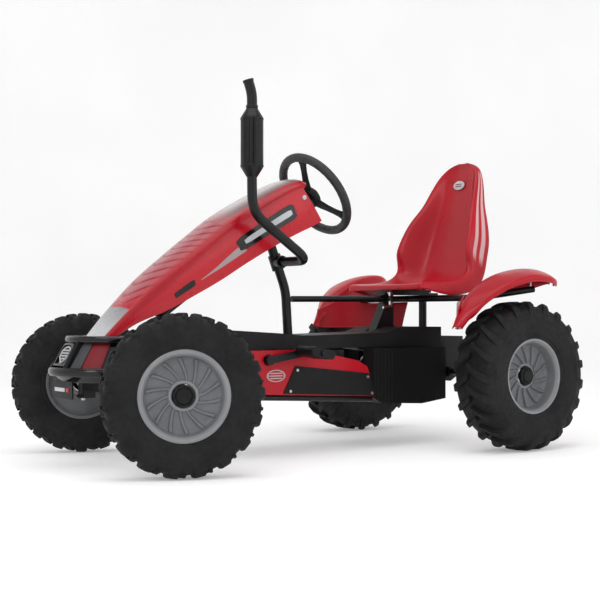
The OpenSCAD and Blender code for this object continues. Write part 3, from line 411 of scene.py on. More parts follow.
def tyre(name, M, body, node, r, half, lugs, chevron):
    """Tyre of radius r with lugs on both shoulders, or chevrons of tractor lugs."""
    s = Shape()
    c = r - (10 if not chevron else 13)
    face = [
        (101.6, half * 0.70), (105, half * 0.79), (112, half * 0.85), (117, half * 0.865),
        (120, half * 0.915), (124, half * 0.92), (127, half * 0.945), (r * 0.70, half * 0.985),
        (r * 0.755, half), (r * 0.765, half * 1.005), (r * 0.79, half * 1.0),
        (r * 0.80, half * 0.985), (r * 0.85, half * 0.955), (r * 0.90, half * 0.88),
        (c - 3, half * 0.72), (c, half * 0.45), (c + 0.6, 0),
    ]
    s.lathe(face + [(a, -b) for a, b in face[-2::-1]], n=128, close=True)
    for side in (1, -1):
        for i in range(lugs):
            a = 2 * pi * (i + (0.5 if side < 0 else 0)) / lugs
            if chevron:
                path = [
                    (half * -0.04, a - 0.015, c - 4, r - 0.5, 8),
                    (half * 0.3, a + 0.055, c - 4, r, 8.5),
                    (half * 0.62, a + 0.115, c - 5, r - 1, 9.5),
                    (half * 0.82, a + 0.150, c - 12, r - 7, 11),
                    (half * 0.94, a + 0.168, c - 22, r - 17, 12),
                    (half * 0.985, a + 0.175, c - 34, r - 31, 12),
                ]
            else:
                path = [
                    (half * 0.06, a - 0.03, c - 3, r - 0.5, 8.5),
                    (half * 0.38, a, c - 3, r, 11),
                    (half * 0.68, a + 0.03, c - 5, r - 2, 14),
                    (half * 0.86, a + 0.04, c - 12, r - 8, 15.5),
                    (half * 0.975, a + 0.045, c - 24, r - 19, 15.5),
                    (half * 0.995, a + 0.045, c - 32, r - 29, 14),
                ]
            bar_sweep(s, [(side * p[0], *p[1:]) for p in path])
            if not chevron:
                b = a + 2 * pi / lugs / 2
                bar_sweep(s, [(side * half * x, b, c - g, r - h, 4.5) for x, g, h in
                              ((0.3, 2, 2.5), (0.62, 3, 4), (0.8, 8, 10))])
    s.make(name, rubber, body, world=ROW_MM @ M, smooth=30, bevel=1.6, stands_for=[node],
           slot="rubber")


def rim(name, M, body, node, h, dish):
    """Rim of half width h, with curved ribs on a disc at dish."""
    s = Shape()
    s.lathe([
        (101.4, h - 3), (112.5, h - 2), (113.4, h + 1), (112, h + 4), (108, h + 5.4),
        (103, h + 4.6), (99.5, h + 1), (97.4, h - 4),
    ], n=128, mat=1)
    s.lathe([
        (97.4, h - 4), (96, h - 7), (94.5, max(h - 18, dish + 9)), (92.5, dish + 5), (89, dish + 1),
        (84, dish - 1), (46, dish + 1), (41, dish + 3), (38.5, dish + 6), (37, 20.5),
    ], n=128)
    s.lathe([(37, 20.5), (35.5, 22.6), (31, 23), (28.5, 21), (28, 10)], n=96, mat=1)
    s.lathe([
        (28, 10), (28, -20), (40, -20), (44, dish - 7), (86, dish - 7), (92, 0), (96, 8 - h),
        (101.4, 2 - h), (112, -h - 1), (113, 2 - h), (101.4, 5 - h), (101.4, h - 3),
    ], n=96)
    ribs = 14
    for i in range(ribs):
        a = 2 * pi * i / ribs
        rings = []
        for r, turn, w, top in ((36, 0, 3.2, 9), (50, 0.10, 3.0, 8), (68, 0.22, 3.6, 6.5),
                                (82, 0.29, 4.4, 5.5), (92, 0.33, 5.4, 7)):
            t = a + turn
            ring = []
            for q, x in ((1.5, dish - 2), (0.7, dish + top), (-0.7, dish + top), (-1.5, dish - 2)):
                u = t + q * w / r
                ring.append((x, r * cos(u), r * sin(u)))
            rings.append(ring)
        s.rings(rings, close=True, cap=True)
    s.make(name, [rim_grey, rim_light], body, world=ROW_MM @ M, smooth=28, bevel=0.7,
           stands_for=[node], slot="rim_grey")


def cap(name, M, body, node):
    s = Shape()
    s.lathe([(27, 20.5), (27.4, 26), (26, 29.5), (22, 31), (20.5, 30), (18.5, 31.5), (17.5, 34),
             (14, 35), (0.01, 35.2)], n=64)
    for i in range(6):
        turn = Matrix.Rotation(2 * pi * i / 6, 4, "X")
        s.box((29, -1.6, -1.2), (31.8, 1.6, 1.2), M=turn @ Matrix.Translation((0, 23.8, 0)))
    s.make(name, black_plastic, body, world=ROW_MM @ M, smooth=30, stands_for=[node],
           slot="black_plastic")


FRONT_TYRE = dict(r=200, half=49, lugs=18, chevron=False)
REAR_TYRE = dict(r=217, half=71, lugs=21, chevron=True)
FRONT_RIM = dict(h=38, dish=13)
REAR_RIM = dict(h=53, dish=17)


def wheel(end, word, M, body, tyre_size, rim_size):
    tyre(f"{end}_tyre_skin_{word}", M, body, f"{end}_tyre_{word}", **tyre_size)
    rim(f"{end}_rim_skin_{word}", M, body, f"{end}_rim_{word}", **rim_size)
    cap(f"{end}_cap_skin_{word}", M, body, f"{end}_cap_{word}")


for side, word in SIDES:
    j = joints[f"front_wheel_{word}_spin"]
    wheel("front", word, along(j["pos_m"], Vector(j["axis"]) * side), f"front_wheel_{word}",
          FRONT_TYRE, FRONT_RIM)
    wheel("rear", word, along(mid(f"rear_tyre_{word}"), (side, 0, 0)),
          "rear_axle" if side > 0 else "rear_wheel_right", REAR_TYRE, REAR_RIM)

# ------------------------------------------------------------ hood

# crown (y, z), crease (y, z), foot (y, z), half width, along the hood
HOOD = [
    (-643, 338, -628, 334, -618, 328, 62), (-586, 406, -560, 391, -545, 372, 70),
    (-503, 491, -486, 447, -462, 405, 77), (-413, 563, -402, 513, -380, 446, 82),
    (-343, 616, -336, 562, -300, 488, 85), (-257, 678, -268, 613, -215, 538, 87),
    (-158, 733, -170, 676, -125, 587, 89), (-71, 775, -96, 722, -50, 624, 90),
    (-24, 789, -52, 745, 5, 648, 91), (0, 783, -28, 754, 39, 666, 91),
]


CROWN_STEPS, SIDE_STEPS = 14, 5


def side_x(w, f):
    """Half width of the side face, a little bowed, f from crease to foot."""
    return w - 3 * f + 2.0 * sin(pi * f)


def hood():
    """Skin with u 0 on the ridge, 1 on the crease, 2 on the foot, and v along it."""
    s = Shape()
    rings, uvs = [], []
    rows = spline(HOOD, 57)
    for i, (yc, zc, yk, zk, yf, zf, w) in enumerate(rows):
        t = i / (len(rows) - 1)
        half = []
        for k in range(CROWN_STEPS + 1):
            a = k / CROWN_STEPS * pi / 2
            fx, fz = sin(a) ** 0.80, cos(a) ** 0.86
            half.append((w * fx, yk + (yc - yk) * fz, zk + (zc - zk) * fz, k / CROWN_STEPS))
        for k in range(1, SIDE_STEPS + 1):
            f = k / SIDE_STEPS
            half.append((side_x(w, f), yk + (yf - yk) * f, zk + (zf - zk) * f, 1 + f))
        rings.append([(-x, y, z) for x, y, z, u in reversed(half[1:])]
                     + [(x, y, z) for x, y, z, u in half])
        uvs.append([(-u, t) for x, y, z, u in reversed(half[1:])] + [(u, t) for x, y, z, u in half])
    s.rings(rings, uv=uvs)
    return s


def hood_material():
    m = Nodes("hood_red")
    sep = m.add("ShaderNodeSeparateXYZ", Vector=m.coords("UV"))
    u = m.math("ABSOLUTE", sep.outputs[0])
    t = sep.outputs[1]
    patch = m.ramp(m.noise(4.0), 0.3, 0.7)
    base = m.mix(patch, RED_DARK, RED_LIGHT)
    # painted light: side faces a little lighter below the crease
    base = m.mix(m.product(m.ramp(u, 1.02, 1.10), 0.35), base, (0.56, 0.010, 0.02))
    # painted sheen: paler crown
    crown = m.product(m.ramp(u, 0.66, 0.34), m.ramp(t, 0.10, 0.2), m.ramp(t, 0.70, 0.56))
    base = m.mix(m.product(crown, 0.8), base, (0.38, 0.12, 0.135))
    # curved bars that thin out towards the crease
    phase = m.math("SUBTRACT", m.product(t, 26.0), m.product(m.math("POWER", u, 1.35), 2.9))
    wave = m.math("FRACT", phase)
    bar = m.product(m.ramp(wave, 0.06, 0.12), m.ramp(wave, 0.42, 0.30))
    window = m.product(m.ramp(t, 0.13, 0.15), m.ramp(t, 0.53, 0.51), m.ramp(u, 0.70, 0.62))
    base = m.mix(m.product(m.product(bar, window), 0.9), base, (0.24, 0.003, 0.012))
    # grey blend on the rear of the crown
    grey = m.product(m.ramp(t, 0.50, 0.60), m.ramp(u, 0.58, 0.36), m.ramp(t, 0.97, 0.90))
    grey_paint = m.mix(m.ramp(u, 0.5, 0.0), (0.17, 0.12, 0.12), (0.5, 0.46, 0.46))
    base = m.mix(m.product(grey, 0.95), base, grey_paint)
    # painted shade: deeper red on the crown beside the crease
    edge = m.product(m.ramp(u, 0.56, 0.68), m.ramp(u, 1.0, 0.96))
    base = m.mix(m.product(edge, 0.8), base, (0.33, 0.0, 0.008))
    # silver nose
    nose = m.product(m.ramp(t, 0.128, 0.120), m.ramp(u, 0.66, 0.60))
    nose_paint = m.mix(m.ramp(t, 0.0, 0.14), (0.52, 0.53, 0.55), (0.24, 0.23, 0.24))
    base = m.mix(nose, base, nose_paint)
    # long grey dart on the side
    f = m.math("SUBTRACT", u, 1.0)
    middle = m.math("ADD", 0.60, m.product(m.math("SUBTRACT", t, 0.38), -0.3))
    wide = m.ramp(t, 0.35, 0.58, 0.01, 0.12)
    off = m.math("ABSOLUTE", m.math("SUBTRACT", f, middle))
    dart = m.product(m.math("LESS_THAN", off, wide), m.ramp(t, 0.37, 0.375), m.ramp(t, 0.575, 0.57))
    base = m.mix(dart, base, (0.34, 0.28, 0.28))
    m.set(
        Base_Color=base,
        Roughness=m.ramp(m.noise(22.0, 5.0), 0.25, 0.75, 0.24, 0.33),
        Coat_Weight=0.18,
        Specular_IOR_Level=0.3,
        Coat_Roughness=0.08,
        Normal=m.bump(m.noise(260.0, 2.0), 0.00003),
    )
    return m.mat


hood().make("hood_skin", hood_material(), "chassis", smooth=38, solid=4.0, bevel=1.2,
            stands_for=["hood"], slot="red")


def hood_point(t, f, out=0.0, side=1):
    """Point on the hood's side face: t along it, f from crease to foot."""
    yk, zk, yf, zf, w = spline(HOOD, 201)[round(t * 200)][2:]
    return Vector((side * (side_x(w, f) + out), yk + (yf - yk) * f, zk + (zf - zk) * f))


# height, start, end, upper and lower edge, material: badge, its inner bar, short bar
BADGES = [
    (1.6, 0.555, 0.815, 0.20, 0.62, 0), (2.6, 0.58, 0.79, 0.33, 0.49, 1),
    (1.6, 0.265, 0.345, 0.42, 0.66, 0),
]


def side_badge(side, word):
    """Plain dark lozenges on the hood's side, one with a lighter inner bar."""
    s = Shape()
    for out, t0, t1, f0, f1, m in BADGES:
        rings = []
        for i in range(13):
            t = t0 + (t1 - t0) * i / 12
            e = min(1.0, 3.0 * min(i, 12 - i) / 12 + 0.7)
            c, h = (f0 + f1) / 2, (f1 - f0) / 2 * e
            rings.append([hood_point(t, c - h, -1, side), hood_point(t, c - h, out, side),
                          hood_point(t, c + h, out, side), hood_point(t, c + h, -1, side)])
        s.rings(rings, close=True, cap=True, mat=m)
    s.make(f"hood_badge_{word}", [gloss_black, silver], "chassis", bevel=0.5, slot="black_plastic")


def hood_bolt(side, word):
    s = Shape()
    p = hood_point(0.93, 0.22, 0, side)
    s.lathe([(7, 0), (7, 2.2), (5.4, 3.6), (0.01, 4.0)], n=24,
            M=Matrix.Translation(p) @ Matrix.Rotation(0 if side > 0 else pi, 4, "Z"))
    s.make(f"hood_bolt_{word}", silver, "chassis", slot="zinc")


for side, word in SIDES:
    side_badge(side, word)
    hood_bolt(side, word)

# ------------------------------------------------------------ seat

# y, z of the middle line, half width, bolster rise, depth of the outer wall
SEAT = [
    (343, 470, 166, 0, 6), (341, 482, 174, 1, 10), (352, 489, 179, 3, 16),
    (395, 484, 184, 10, 26), (455, 477, 186, 20, 32), (520, 477, 186, 34, 32),
    (572, 488, 184, 56, 32), (604, 520, 181, 80, 34), (621, 566, 178, 90, 36),
    (636, 620, 173, 86, 34), (650, 680, 155, 76, 28), (661, 740, 128, 52, 20),
    (669, 796, 112, 34, 15), (675, 838, 97, 20, 10), (679, 866, 77, 9, 8),
    (681, 882, 50, 4, 6), (682, 890, 20, 1, 4),
]


# where the raised rim runs: share of the way across, and of the half width
RIM_AT, RIM_X = 0.93, 0.955


def seat():
    """Skin with u across from -1 to 1, 0 in the middle, and v from the front lip to the top."""
    s = Shape()
    rows = spline(SEAT, 46)
    rings, uvs = [], []
    us = [-1, -0.985, -0.96, -RIM_AT, -0.89, -0.84, -0.77, -0.69, -0.6, -0.5, -0.4, -0.27, -0.14, 0]
    us += [-u for u in us[-2::-1]]
    for i, (y, z, w, rise, wall) in enumerate(rows):
        a, b = rows[max(i - 6, 0)], rows[min(i + 6, len(rows) - 1)]
        d = Vector((0, b[0] - a[0], b[1] - a[1])).normalized()
        n = Vector((0, -d.z, d.y))
        ring, uv = [], []
        t = i / (len(rows) - 1)
        for u in us:
            k = abs(u)
            if k > RIM_AT:
                over = (k - RIM_AT) / 0.07
                x = w * (RIM_X + over * (1 - RIM_X))
                h = rise - (rise * 0.55 + wall) * over ** 1.3
            else:
                x = w * (k / RIM_AT * RIM_X)
                h = rise * step(k, 0.50, 0.90)
            panel = -4.0 * (1 - step(k, 0.36, 0.44)) * step(t, 0.42, 0.5)
            panel *= 1 - step(t, 0.90, 0.96)
            ring.append(Vector((math.copysign(x, u), y, z)) + n * (h + panel))
            uv.append((u, t))
        rings.append(ring)
        uvs.append(uv)
    s.rings(rings, uv=uvs)
    return s


def seat_material():
    m = Nodes("seat_red")
    sep = m.add("ShaderNodeSeparateXYZ", Vector=m.coords("UV"))
    u, t = sep.outputs[0], sep.outputs[1]
    base = m.mix(m.ramp(m.noise(4.0), 0.3, 0.7), RED_DARK, RED_LIGHT)
    k = m.math("ABSOLUTE", u)
    # painted sheen: paler middle of the back
    pale = m.product(m.ramp(k, 0.5, 0.1), m.ramp(t, 0.35, 0.6))
    base = m.mix(m.product(pale, 0.3), base, (0.34, 0.04, 0.045))
    # seam across the head rest
    off = m.math("ABSOLUTE", m.math("SUBTRACT", t, 0.80))
    seam = m.product(m.ramp(off, 0.006, 0.002), m.ramp(k, 0.62, 0.55))
    base = m.mix(m.product(seam, 0.6), base, (0.20, 0.0, 0.006))
    # two pale stripes down each bolster's outer side
    half = 0.006
    for centre in (0.958, 0.981):
        off = m.math("ABSOLUTE", m.math("SUBTRACT", k, centre))
        line = m.product(m.ramp(off, half * 1.3, half * 0.7), m.ramp(t, 0.44, 0.50),
                         m.ramp(t, 0.86, 0.82))
        base = m.mix(m.product(line, 0.85), base, (0.62, 0.42, 0.43))
    m.set(
        Base_Color=base,
        Roughness=m.ramp(m.noise(20.0, 5.0), 0.25, 0.75, 0.28, 0.4),
        Coat_Weight=0.12,
        Specular_IOR_Level=0.25,
        Coat_Roughness=0.14,
        Normal=m.bump(m.noise(420.0, 2.0), 0.00005),
    )
    return m.mat


seat().make("seat_skin", seat_material(), "seat", smooth=180, solid=5.0, subdivide=1,
            stands_for=["seat_shell"], slot="red")


def seat_badge():
    """Plain oval with two bars, laid on the head rest."""
    s = Shape()
    d = Vector((0, 7, 46)).normalized()
    n = Vector((0, -d.z, d.y))
    M = Matrix((Vector((1, 0, 0)), d, n)).transposed().to_4x4()
    M = Matrix.Translation((-8, 672, 818)) @ M
    rings = []
    for r, h in ((1.0, -1), (1.0, 1.6), (0.9, 2.4), (0.01, 2.6)):
        angles = [2 * pi * i / 40 for i in range(40)]
        rings.append([(25 * r * cos(a), 15 * r * sin(a), h) for a in angles])
    s.rings(rings, close=True, M=M)
    s.box((-14, 2, 2.0), (14, 5, 3.2), mat=1, M=M)
    s.box((-14, -5, 2.0), (14, -2, 3.2), mat=1, M=M)
    s.make("seat_badge", [silver, dark_red], "seat", slot="red", bevel=0.3)


seat_badge()

# ------------------------------------------------------------ fenders

# inner ridge x, y, z and outer edge x, y, z, then drop of the inner wall
FENDER = [
    (334, 322, 358, 350, 334, 358, 4), (329, 344, 398, 361, 352, 388, 8),
    (326, 372, 438, 374, 370, 412, 18), (316, 412, 468, 390, 390, 438, 26),
    (313, 452, 491, 408, 422, 464, 40), (318, 502, 513, 427, 470, 490, 56),
    (325, 560, 526, 440, 542, 508, 66), (333, 610, 529, 441, 602, 506, 66),
    (346, 640, 521, 433, 638, 499, 48), (364, 662, 509, 413, 662, 494, 26),
    (382, 673, 496, 390, 673, 492, 8),
]


FENDER_STEPS = 41


def mirrored(points, side):
    return [Vector((side * p.x, p.y, p.z)) for p in points]


def fender_skin(side, word):
    s = Shape()
    rings = []
    rows = spline(FENDER, FENDER_STEPS)
    last = FENDER_STEPS - 1
    for q, row in enumerate(rows):
        before, after = rows[max(q - 1, 0)], rows[min(q + 1, last)]
        i, o, wall = Vector(row[:3]), Vector(row[3:6]), row[6]
        run = Vector([after[k] + after[k + 3] - before[k] - before[k + 3] for k in range(3)])
        across = (o - i).normalized()
        up = (o - i).cross(run).normalized()
        if up.z < 0:
            up = -up
        # the walls hang square to the skin at the foot, and straight down from a third on
        lean = step(q / last, 0.05, 0.35)
        down = (up * -(1 - lean) + lift(-lean)).normalized()
        ring = [i + down * wall + across, i + down * wall * 0.5 - across,
                i + down * 7 - across * 1.5, i + down * 1.5 + across * 1.5]
        crown = 9 * min(1, (o - i).length / 60)
        for k in range(1, 8):
            ring.append(i.lerp(o, k / 8) - down * (crown * sin(pi * k / 8) ** 0.8))
        lip = 17 if 4 < q < last - 3 else 10
        ring += [o + across - down * 0.5, o + across * 3.5 + down * 3, o + across * 3.5 + down * 9,
                 o + across * 1.5 + down * lip]
        rings.append(mirrored(ring, side))
    s.rings(rings)
    s.make(f"fender_skin_{word}", red, "chassis", smooth=50, solid=4.0, offset=0,
           subdivide=1, stands_for=[f"fender_{word}"], slot="red")


# x, y and top height of the guard, from the fender's foot to the seat
GUARD = [(338, 338, 412), (294, 398, 452), (216, 448, 434), (176, 496, 434), (138, 540, 436)]
GUARD_FOOT = 354


def fender_guard(side, word):
    """Slanted guard between the fender and the seat."""
    s = Shape()
    rings = []
    for k, (x, y, top) in enumerate(GUARD):
        a = Vector((x, y, 0))
        after, before = GUARD[min(k + 1, 4)], GUARD[max(k - 1, 0)]
        out = Vector((after[1] - before[1], before[0] - after[0], 0)).normalized()
        if out.y < 0:
            out = -out
        back = Vector((-9 * k / 4, 14 * k / 4, 0))
        rings.append(mirrored([
            a + out * -5 + lift(GUARD_FOOT), a + out * -1 + lift(GUARD_FOOT + 0.5),
            a + lift(GUARD_FOOT + 8), a + back * 0.5 + lift((GUARD_FOOT + 8 + top) / 2),
            a + back + lift(top - 5), a + back + out * 4 + lift(top),
        ], side))
    s.rings(rings)
    s.make(f"fender_guard_{word}", red, "chassis", smooth=40, solid=4.0, offset=0, bevel=1.0,
           slot="red")


for side, word in SIDES:
    fender_skin(side, word)
    fender_guard(side, word)
keep(zinc, "fender_bolts")

# ------------------------------------------------------------ exhaust


CONE = 26  # length of the cone at each end of the muffler
FLUTES = 15
PIPE_R = 13.5


def muffler(x, y, z0, z1):
    """Fluted can between two cones, with two rows of rivets."""
    s = Shape()
    # height, radius, depth of the flutes
    levels = [
        (z0 - CONE, 14.5, 0), (z0 - 24, 16, 0), (z0 - 2, 29.5, 0), (z0, 30.6, 0.4),
        (z0 + 3, 31, 1), (z0 + 10, 31, 1), (z1 - 10, 31, 1), (z1 - 3, 31, 1),
        (z1, 30.6, 0.4), (z1 + 2, 29.5, 0), (z1 + 24, 16, 0), (z1 + CONE, 14.5, 0),
    ]
    n = 120
    rings = []
    for z, r, k in levels:
        ring = []
        for i in range(n):
            t = 2 * pi * i / n
            flute = 1.5 * k * max(0.0, cos(FLUTES * t)) ** 6
            ring.append(((r - flute) * cos(t) + x, (r - flute) * sin(t) + y, z))
        rings.append(ring)
    s.rings(rings, close=True, cap=True)
    for i in range(26):
        z = z0 + 12 + (z1 - z0 - 24) * i / 25
        for t in (-0.62, -0.36):
            p = Vector((x + 31.0 * cos(t), y + 31.0 * sin(t), z))
            s.lathe([(1.9, -0.6), (1.9, 0.5), (1.2, 0.9), (0.01, 0.5)], n=10, mat=1,
                    M=along(p / 1000, (cos(t), sin(t), 0)))
    for z in (z0 + 4, z1 - 4):
        s.rings([circle(x, y, z + h, r, 72) for r, h in ((30.5, -3), (32, -2), (32, 2), (30.5, 3))],
                close=True)
    s.make("muffler_skin", [black_steel, black_plastic], "chassis", world=ROW_MM, smooth=28,
           stands_for=["muffler"], slot="black_steel")


def exhaust_tip(x, y, z1):
    s = Shape()
    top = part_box("exhaust_tip")[1].z * 1000
    end = Vector((x - 2, y - 11, top - 8))
    s.tube([(x, y, z1 + 24), (x, y, top - 42), end], 14, bend=24)
    s.rings([circle(x, y, z1 + h, r, 48) for r, h in ((14, 24), (16.5, 25), (16.5, 33), (14, 34))],
            close=True)
    M = along(end / 1000, (-2, -11, 34), (0, -1, 0.2))
    s.lathe([(14, -4), (15.2, -2), (15.2, 3), (13.6, 4), (11.5, 3), (11, -16)], n=40, M=M)
    s.lathe([(11, -14), (0.01, -14)], n=40, mat=1, M=M)
    s.make("exhaust_tip_skin", [black_steel, black_plastic], "chassis", world=ROW_MM, smooth=35,
           stands_for=["exhaust_tip"], slot="black_steel")


def exhaust_pipe(x, y, z0):
    """Pipe from the clamp on the post, out to the side, then up to the muffler."""
    s = Shape()
    c = mid("exhaust_clamp") * 1000
    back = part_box("exhaust_pipe")[1].y * 1000 - 8
    s.tube([(15, c.y, c.z), (x + 2, back, c.z - 1), (x, y + 1, 672), (x, y, z0 - 24)], PIPE_R,
           bend=46)
    s.make("exhaust_pipe_skin", black_steel, "chassis", world=ROW_MM, smooth=50,
           stands_for=["exhaust_pipe"], slot="black_steel")


def exhaust():
    lo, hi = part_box("muffler")
    x, y = (lo.x + hi.x) * 500, (lo.y + hi.y) * 500
    z0, z1 = lo.z * 1000 + CONE, hi.z * 1000 - CONE
    muffler(x, y, z0, z1)
    exhaust_tip(x, y, z1)
    exhaust_pipe(x, y, z0)


exhaust()
keep(black_steel, "exhaust_clamp", bevel=1.0)

# ------------------------------------------------------------ steering


GRIP_CIRCLE, GRIP_R = 125.5, 13.0
FINGER_NOTCHES = 36
REST_TURN = 22.7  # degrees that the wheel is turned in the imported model
COLUMN_TILT = math.radians(35)
SPOKES = (-53, 67, 187)  # degrees from +X towards down and back, at straight ahead
# distance from the hub, half width, place along the column, half thickness
SPOKE = [
    (22, 17, -19, 5.5), (40, 15, -17, 5), (62, 12, -13, 4.5), (86, 11, -8, 4.5),
    (104, 13, -4, 4.5), (116, 19, -1.5, 4.5), (121, 24, 0, 4.5),
]


def grip(M):
    s = Shape()
    n = 180
    rings = []
    for i in range(n):
        t = 2 * pi * i / n
        ring = []
        for k in range(24):
            a = 2 * pi * k / 24
            notch = 0.9 * max(0.0, -cos(a)) * max(0.0, cos(FINGER_NOTCHES * t)) ** 3
            r = GRIP_R - notch
            out = GRIP_CIRCLE + r * cos(a)
            ring.append((r * sin(a), out * cos(t), out * sin(t)))
        rings.append(ring)
    s.rings(rings, close=True, loop=True)
    s.make("steering_grip", grip_material(), "steering", world=ROW_MM @ M, smooth=60,
           stands_for=["steering_wheel"], slot="black_plastic")


def spokes(M):
    s = Shape()
    down = Vector((0, sin(COLUMN_TILT), -cos(COLUMN_TILT)))
    for degrees in SPOKES:
        a = math.radians(degrees) - math.radians(REST_TURN)
        d = Vector((cos(a), 0, 0)) + down * sin(a)
        local = M.to_3x3().inverted() @ d
        rings = []
        for r, w, x, h in SPOKE:
            rings.append([
                (x - h, r, -w * 0.8), (x - h * 0.4, r, -w), (x + h * 0.6, r, -w * 0.92),
                (x + h, r, -w * 0.6), (x + h * 0.55, r, 0), (x + h, r, w * 0.6),
                (x + h * 0.6, r, w * 0.92), (x - h * 0.4, r, w), (x - h, r, w * 0.8),
            ])
        s.rings(rings, close=True, cap=True,
                M=Matrix.Rotation(math.atan2(local.z, local.y), 4, "X"))
    s.lathe([(0.01, -32), (24, -32), (30, -28), (32, -18), (32, -14), (30, -10), (0.01, -9)], n=64)
    s.make("steering_spokes", black_plastic, "steering", world=ROW_MM @ M, smooth=40, bevel=1.2,
           slot="black_plastic")


def steering():
    j = joints["steering_column"]
    M = along(j["pos_m"], j["axis"])
    grip(M)
    spokes(M)
    s = Shape()
    s.lathe([(30, -10), (30, -7), (28, -5), (24, -4), (22, -4.6), (20, -3.6), (0.01, -2.6)], n=64)
    s.make("steering_hub_cap", gloss_black, "steering", world=ROW_MM @ M, smooth=40,
           stands_for=["steering_wheel_cap"], slot="black_plastic")


def grip_material():
    """Black foam with fine cells."""
    m = Nodes("grip_foam")
    v = m.add("ShaderNodeTexVoronoi", Scale=240.0)
    m.put(v.inputs["Vector"], m.coords())
    cells = m.ramp(v.outputs["Distance"], 0.15, 0.55)
    patches = m.ramp(m.noise(40.0), 0.3, 0.7)
    m.set(
        Base_Color=m.mix(patches, (0.010, 0.010, 0.011), (0.02, 0.02, 0.021)),
        Roughness=m.ramp(m.noise(60.0), 0.3, 0.7, 0.45, 0.6),
        Normal=m.bump(cells, 0.0006),
    )
    return m.mat


steering()
keep(black_steel, "steering_shaft")

POST_R = 13.5
COLLAR_BACK = 0.204  # metres from the wheel down the column to the bearing collar


def post():
    """Steering post with a foot flange and a collar for the column."""
    lo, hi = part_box("steering_post")
    y, z0 = hi.y * 1000 - 20.5, lo.z * 1000
    s = Shape()
    s.tube([(0, y, z0), (0, y - 9, z0 + 137), (0, y - 30, z0 + 190), (0, y - 68, z0 + 286)], POST_R,
           bend=60)
    s.lathe([(13, 0), (21, 0), (21, 3.5), (19.5, 5), (14.5, 6), (13, 10)], n=48,
            M=Matrix.Translation((0, y, z0)) @ Matrix.Rotation(-pi / 2, 4, "Y"))
    j = joints["steering_column"]
    M = along(Vector(j["pos_m"]) - Vector(j["axis"]).normalized() * COLLAR_BACK, j["axis"])
    s.lathe([(16, -10), (19, -10), (20, -9), (20, 9), (19, 10), (16, 10)], n=64, close=True, M=M)
    s.make("post_skin", black_steel, "chassis", world=ROW_MM, smooth=40,
           stands_for=["steering_post"], slot="black_steel")


post()
keep(zinc, "column_bearings")

# ------------------------------------------------------------ nose

NOSE_Y, TOP_BAR_Y = -621, -590  # middle of the arcs that the two bars follow
# lower and upper radius, material, start and end angle of each panel
NOSE_PANELS = [
    (111, 96, 0, -90, -66), (114, 99, 1, -66, -40), (117, 102, 3, -40, -24), (111, 96, 0, -24, 24),
    (117, 102, 3, 24, 40), (114, 99, 1, 40, 66), (111, 96, 0, 66, 90),
]


def bumper_bar(s, r, y, z, k, depth):
    """Bar of height k that follows an arc of radius r, with a rounded face."""
    n = 48
    c = Vector((0, y, 0))
    face = ((depth, 0), (4, 0), (1, k * 0.15), (0, k * 0.4), (1, k * 0.75), (5, k), (depth, k))
    rings = []
    for i in range(n + 1):
        d = polar(-90 + 180 * i / n)
        rings.append([c + d * (r - back) + lift(z + rise) for back, rise in face])
    s.rings(rings, close=True, cap=True)


def nose_body():
    s = Shape()
    bumper_bar(s, 133, NOSE_Y, 238, 22, 34)
    bumper_bar(s, 118, TOP_BAR_Y, 322, 18, 46)
    # panels between the bars, set back from them
    lo, hi = Vector((0, NOSE_Y, 258)), Vector((0, -593, 324))
    for r0, r1, mat, a0, a1 in NOSE_PANELS:
        rings = []
        for i in range(13):
            d = polar(a0 + (a1 - a0) * i / 12)
            rings.append([lo + d * (r0 - 30), lo + d * r0, hi + d * r1, hi + d * (r1 - 30)])
        s.rings(rings, close=True, cap=True, mat=mat)
    # pillars beside the shield
    for x in (-1, 1):
        s.rings([
            [(x * 37, -744, 256), (x * 45, -738, 256), (x * 45, -716, 256), (x * 37, -716, 256)],
            [(x * 35, -707, 324), (x * 43, -702, 324), (x * 43, -680, 324), (x * 35, -680, 324)],
        ], close=True, cap=True, mat=2)
    # skirt below the lower bar
    top, low = Vector((0, NOSE_Y, 241)), Vector((0, NOSE_Y, 222))
    rings = []
    for i in range(33):
        d = polar(-80 + 160 * i / 32)
        rings.append([top + d * 122, low + d * 103, low + d * 99, top + d * 117])
    s.rings(rings, close=True, cap=True)
    s.make("nose_skin", [gloss_black, dark_red, black_plastic, plate_grey], "chassis", smooth=35,
           bevel=1.6, stands_for=["bumper", "nose_panels"], slot="gloss_black", segments=3)


def at_depth(outline, y):
    return [(x, y, z) for x, z in outline]


def nose_shield():
    """Dark framed plate with a light outline of a crest and plain bars."""
    s = Shape()
    M = Matrix.Translation((0, -734, 260)) @ Matrix.Rotation(-0.505, 4, "X")
    outer = [(-35, 2), (35, 2), (34, 56), (26, 67), (0, 70), (-26, 67), (-34, 56)]
    inner = [(x * 0.78, 34 + (z - 34) * 0.8) for x, z in outer]
    s.rings([at_depth(outer, 2), at_depth(outer, -5), at_depth(inner, -6), at_depth(inner, -1)],
            close=True, mat=1, M=M)
    s.rings([at_depth(inner, -1), at_depth(inner, 1)], close=True, cap=True, mat=1, M=M)
    crest = [(-24, 28), (0, 9), (24, 28), (26, 46), (15, 56), (0, 60), (-15, 56), (-26, 46)]
    small = [(x * 0.84, 38 + (z - 38) * 0.84) for x, z in crest]
    s.rings([at_depth(crest, -1), at_depth(crest, -4), at_depth(small, -4), at_depth(small, -1)],
            close=True, M=M)
    for z, w in ((24, 9), (32, 17), (40, 19), (48, 16)):
        s.box((-w, -3.4, z - 1.6), (w, 0, z + 1.6), M=M)
    s.make("nose_shield_skin", [silver, gloss_black], "chassis", smooth=30, bevel=0.8,
           stands_for=["nose_shield"], slot="rim_grey")


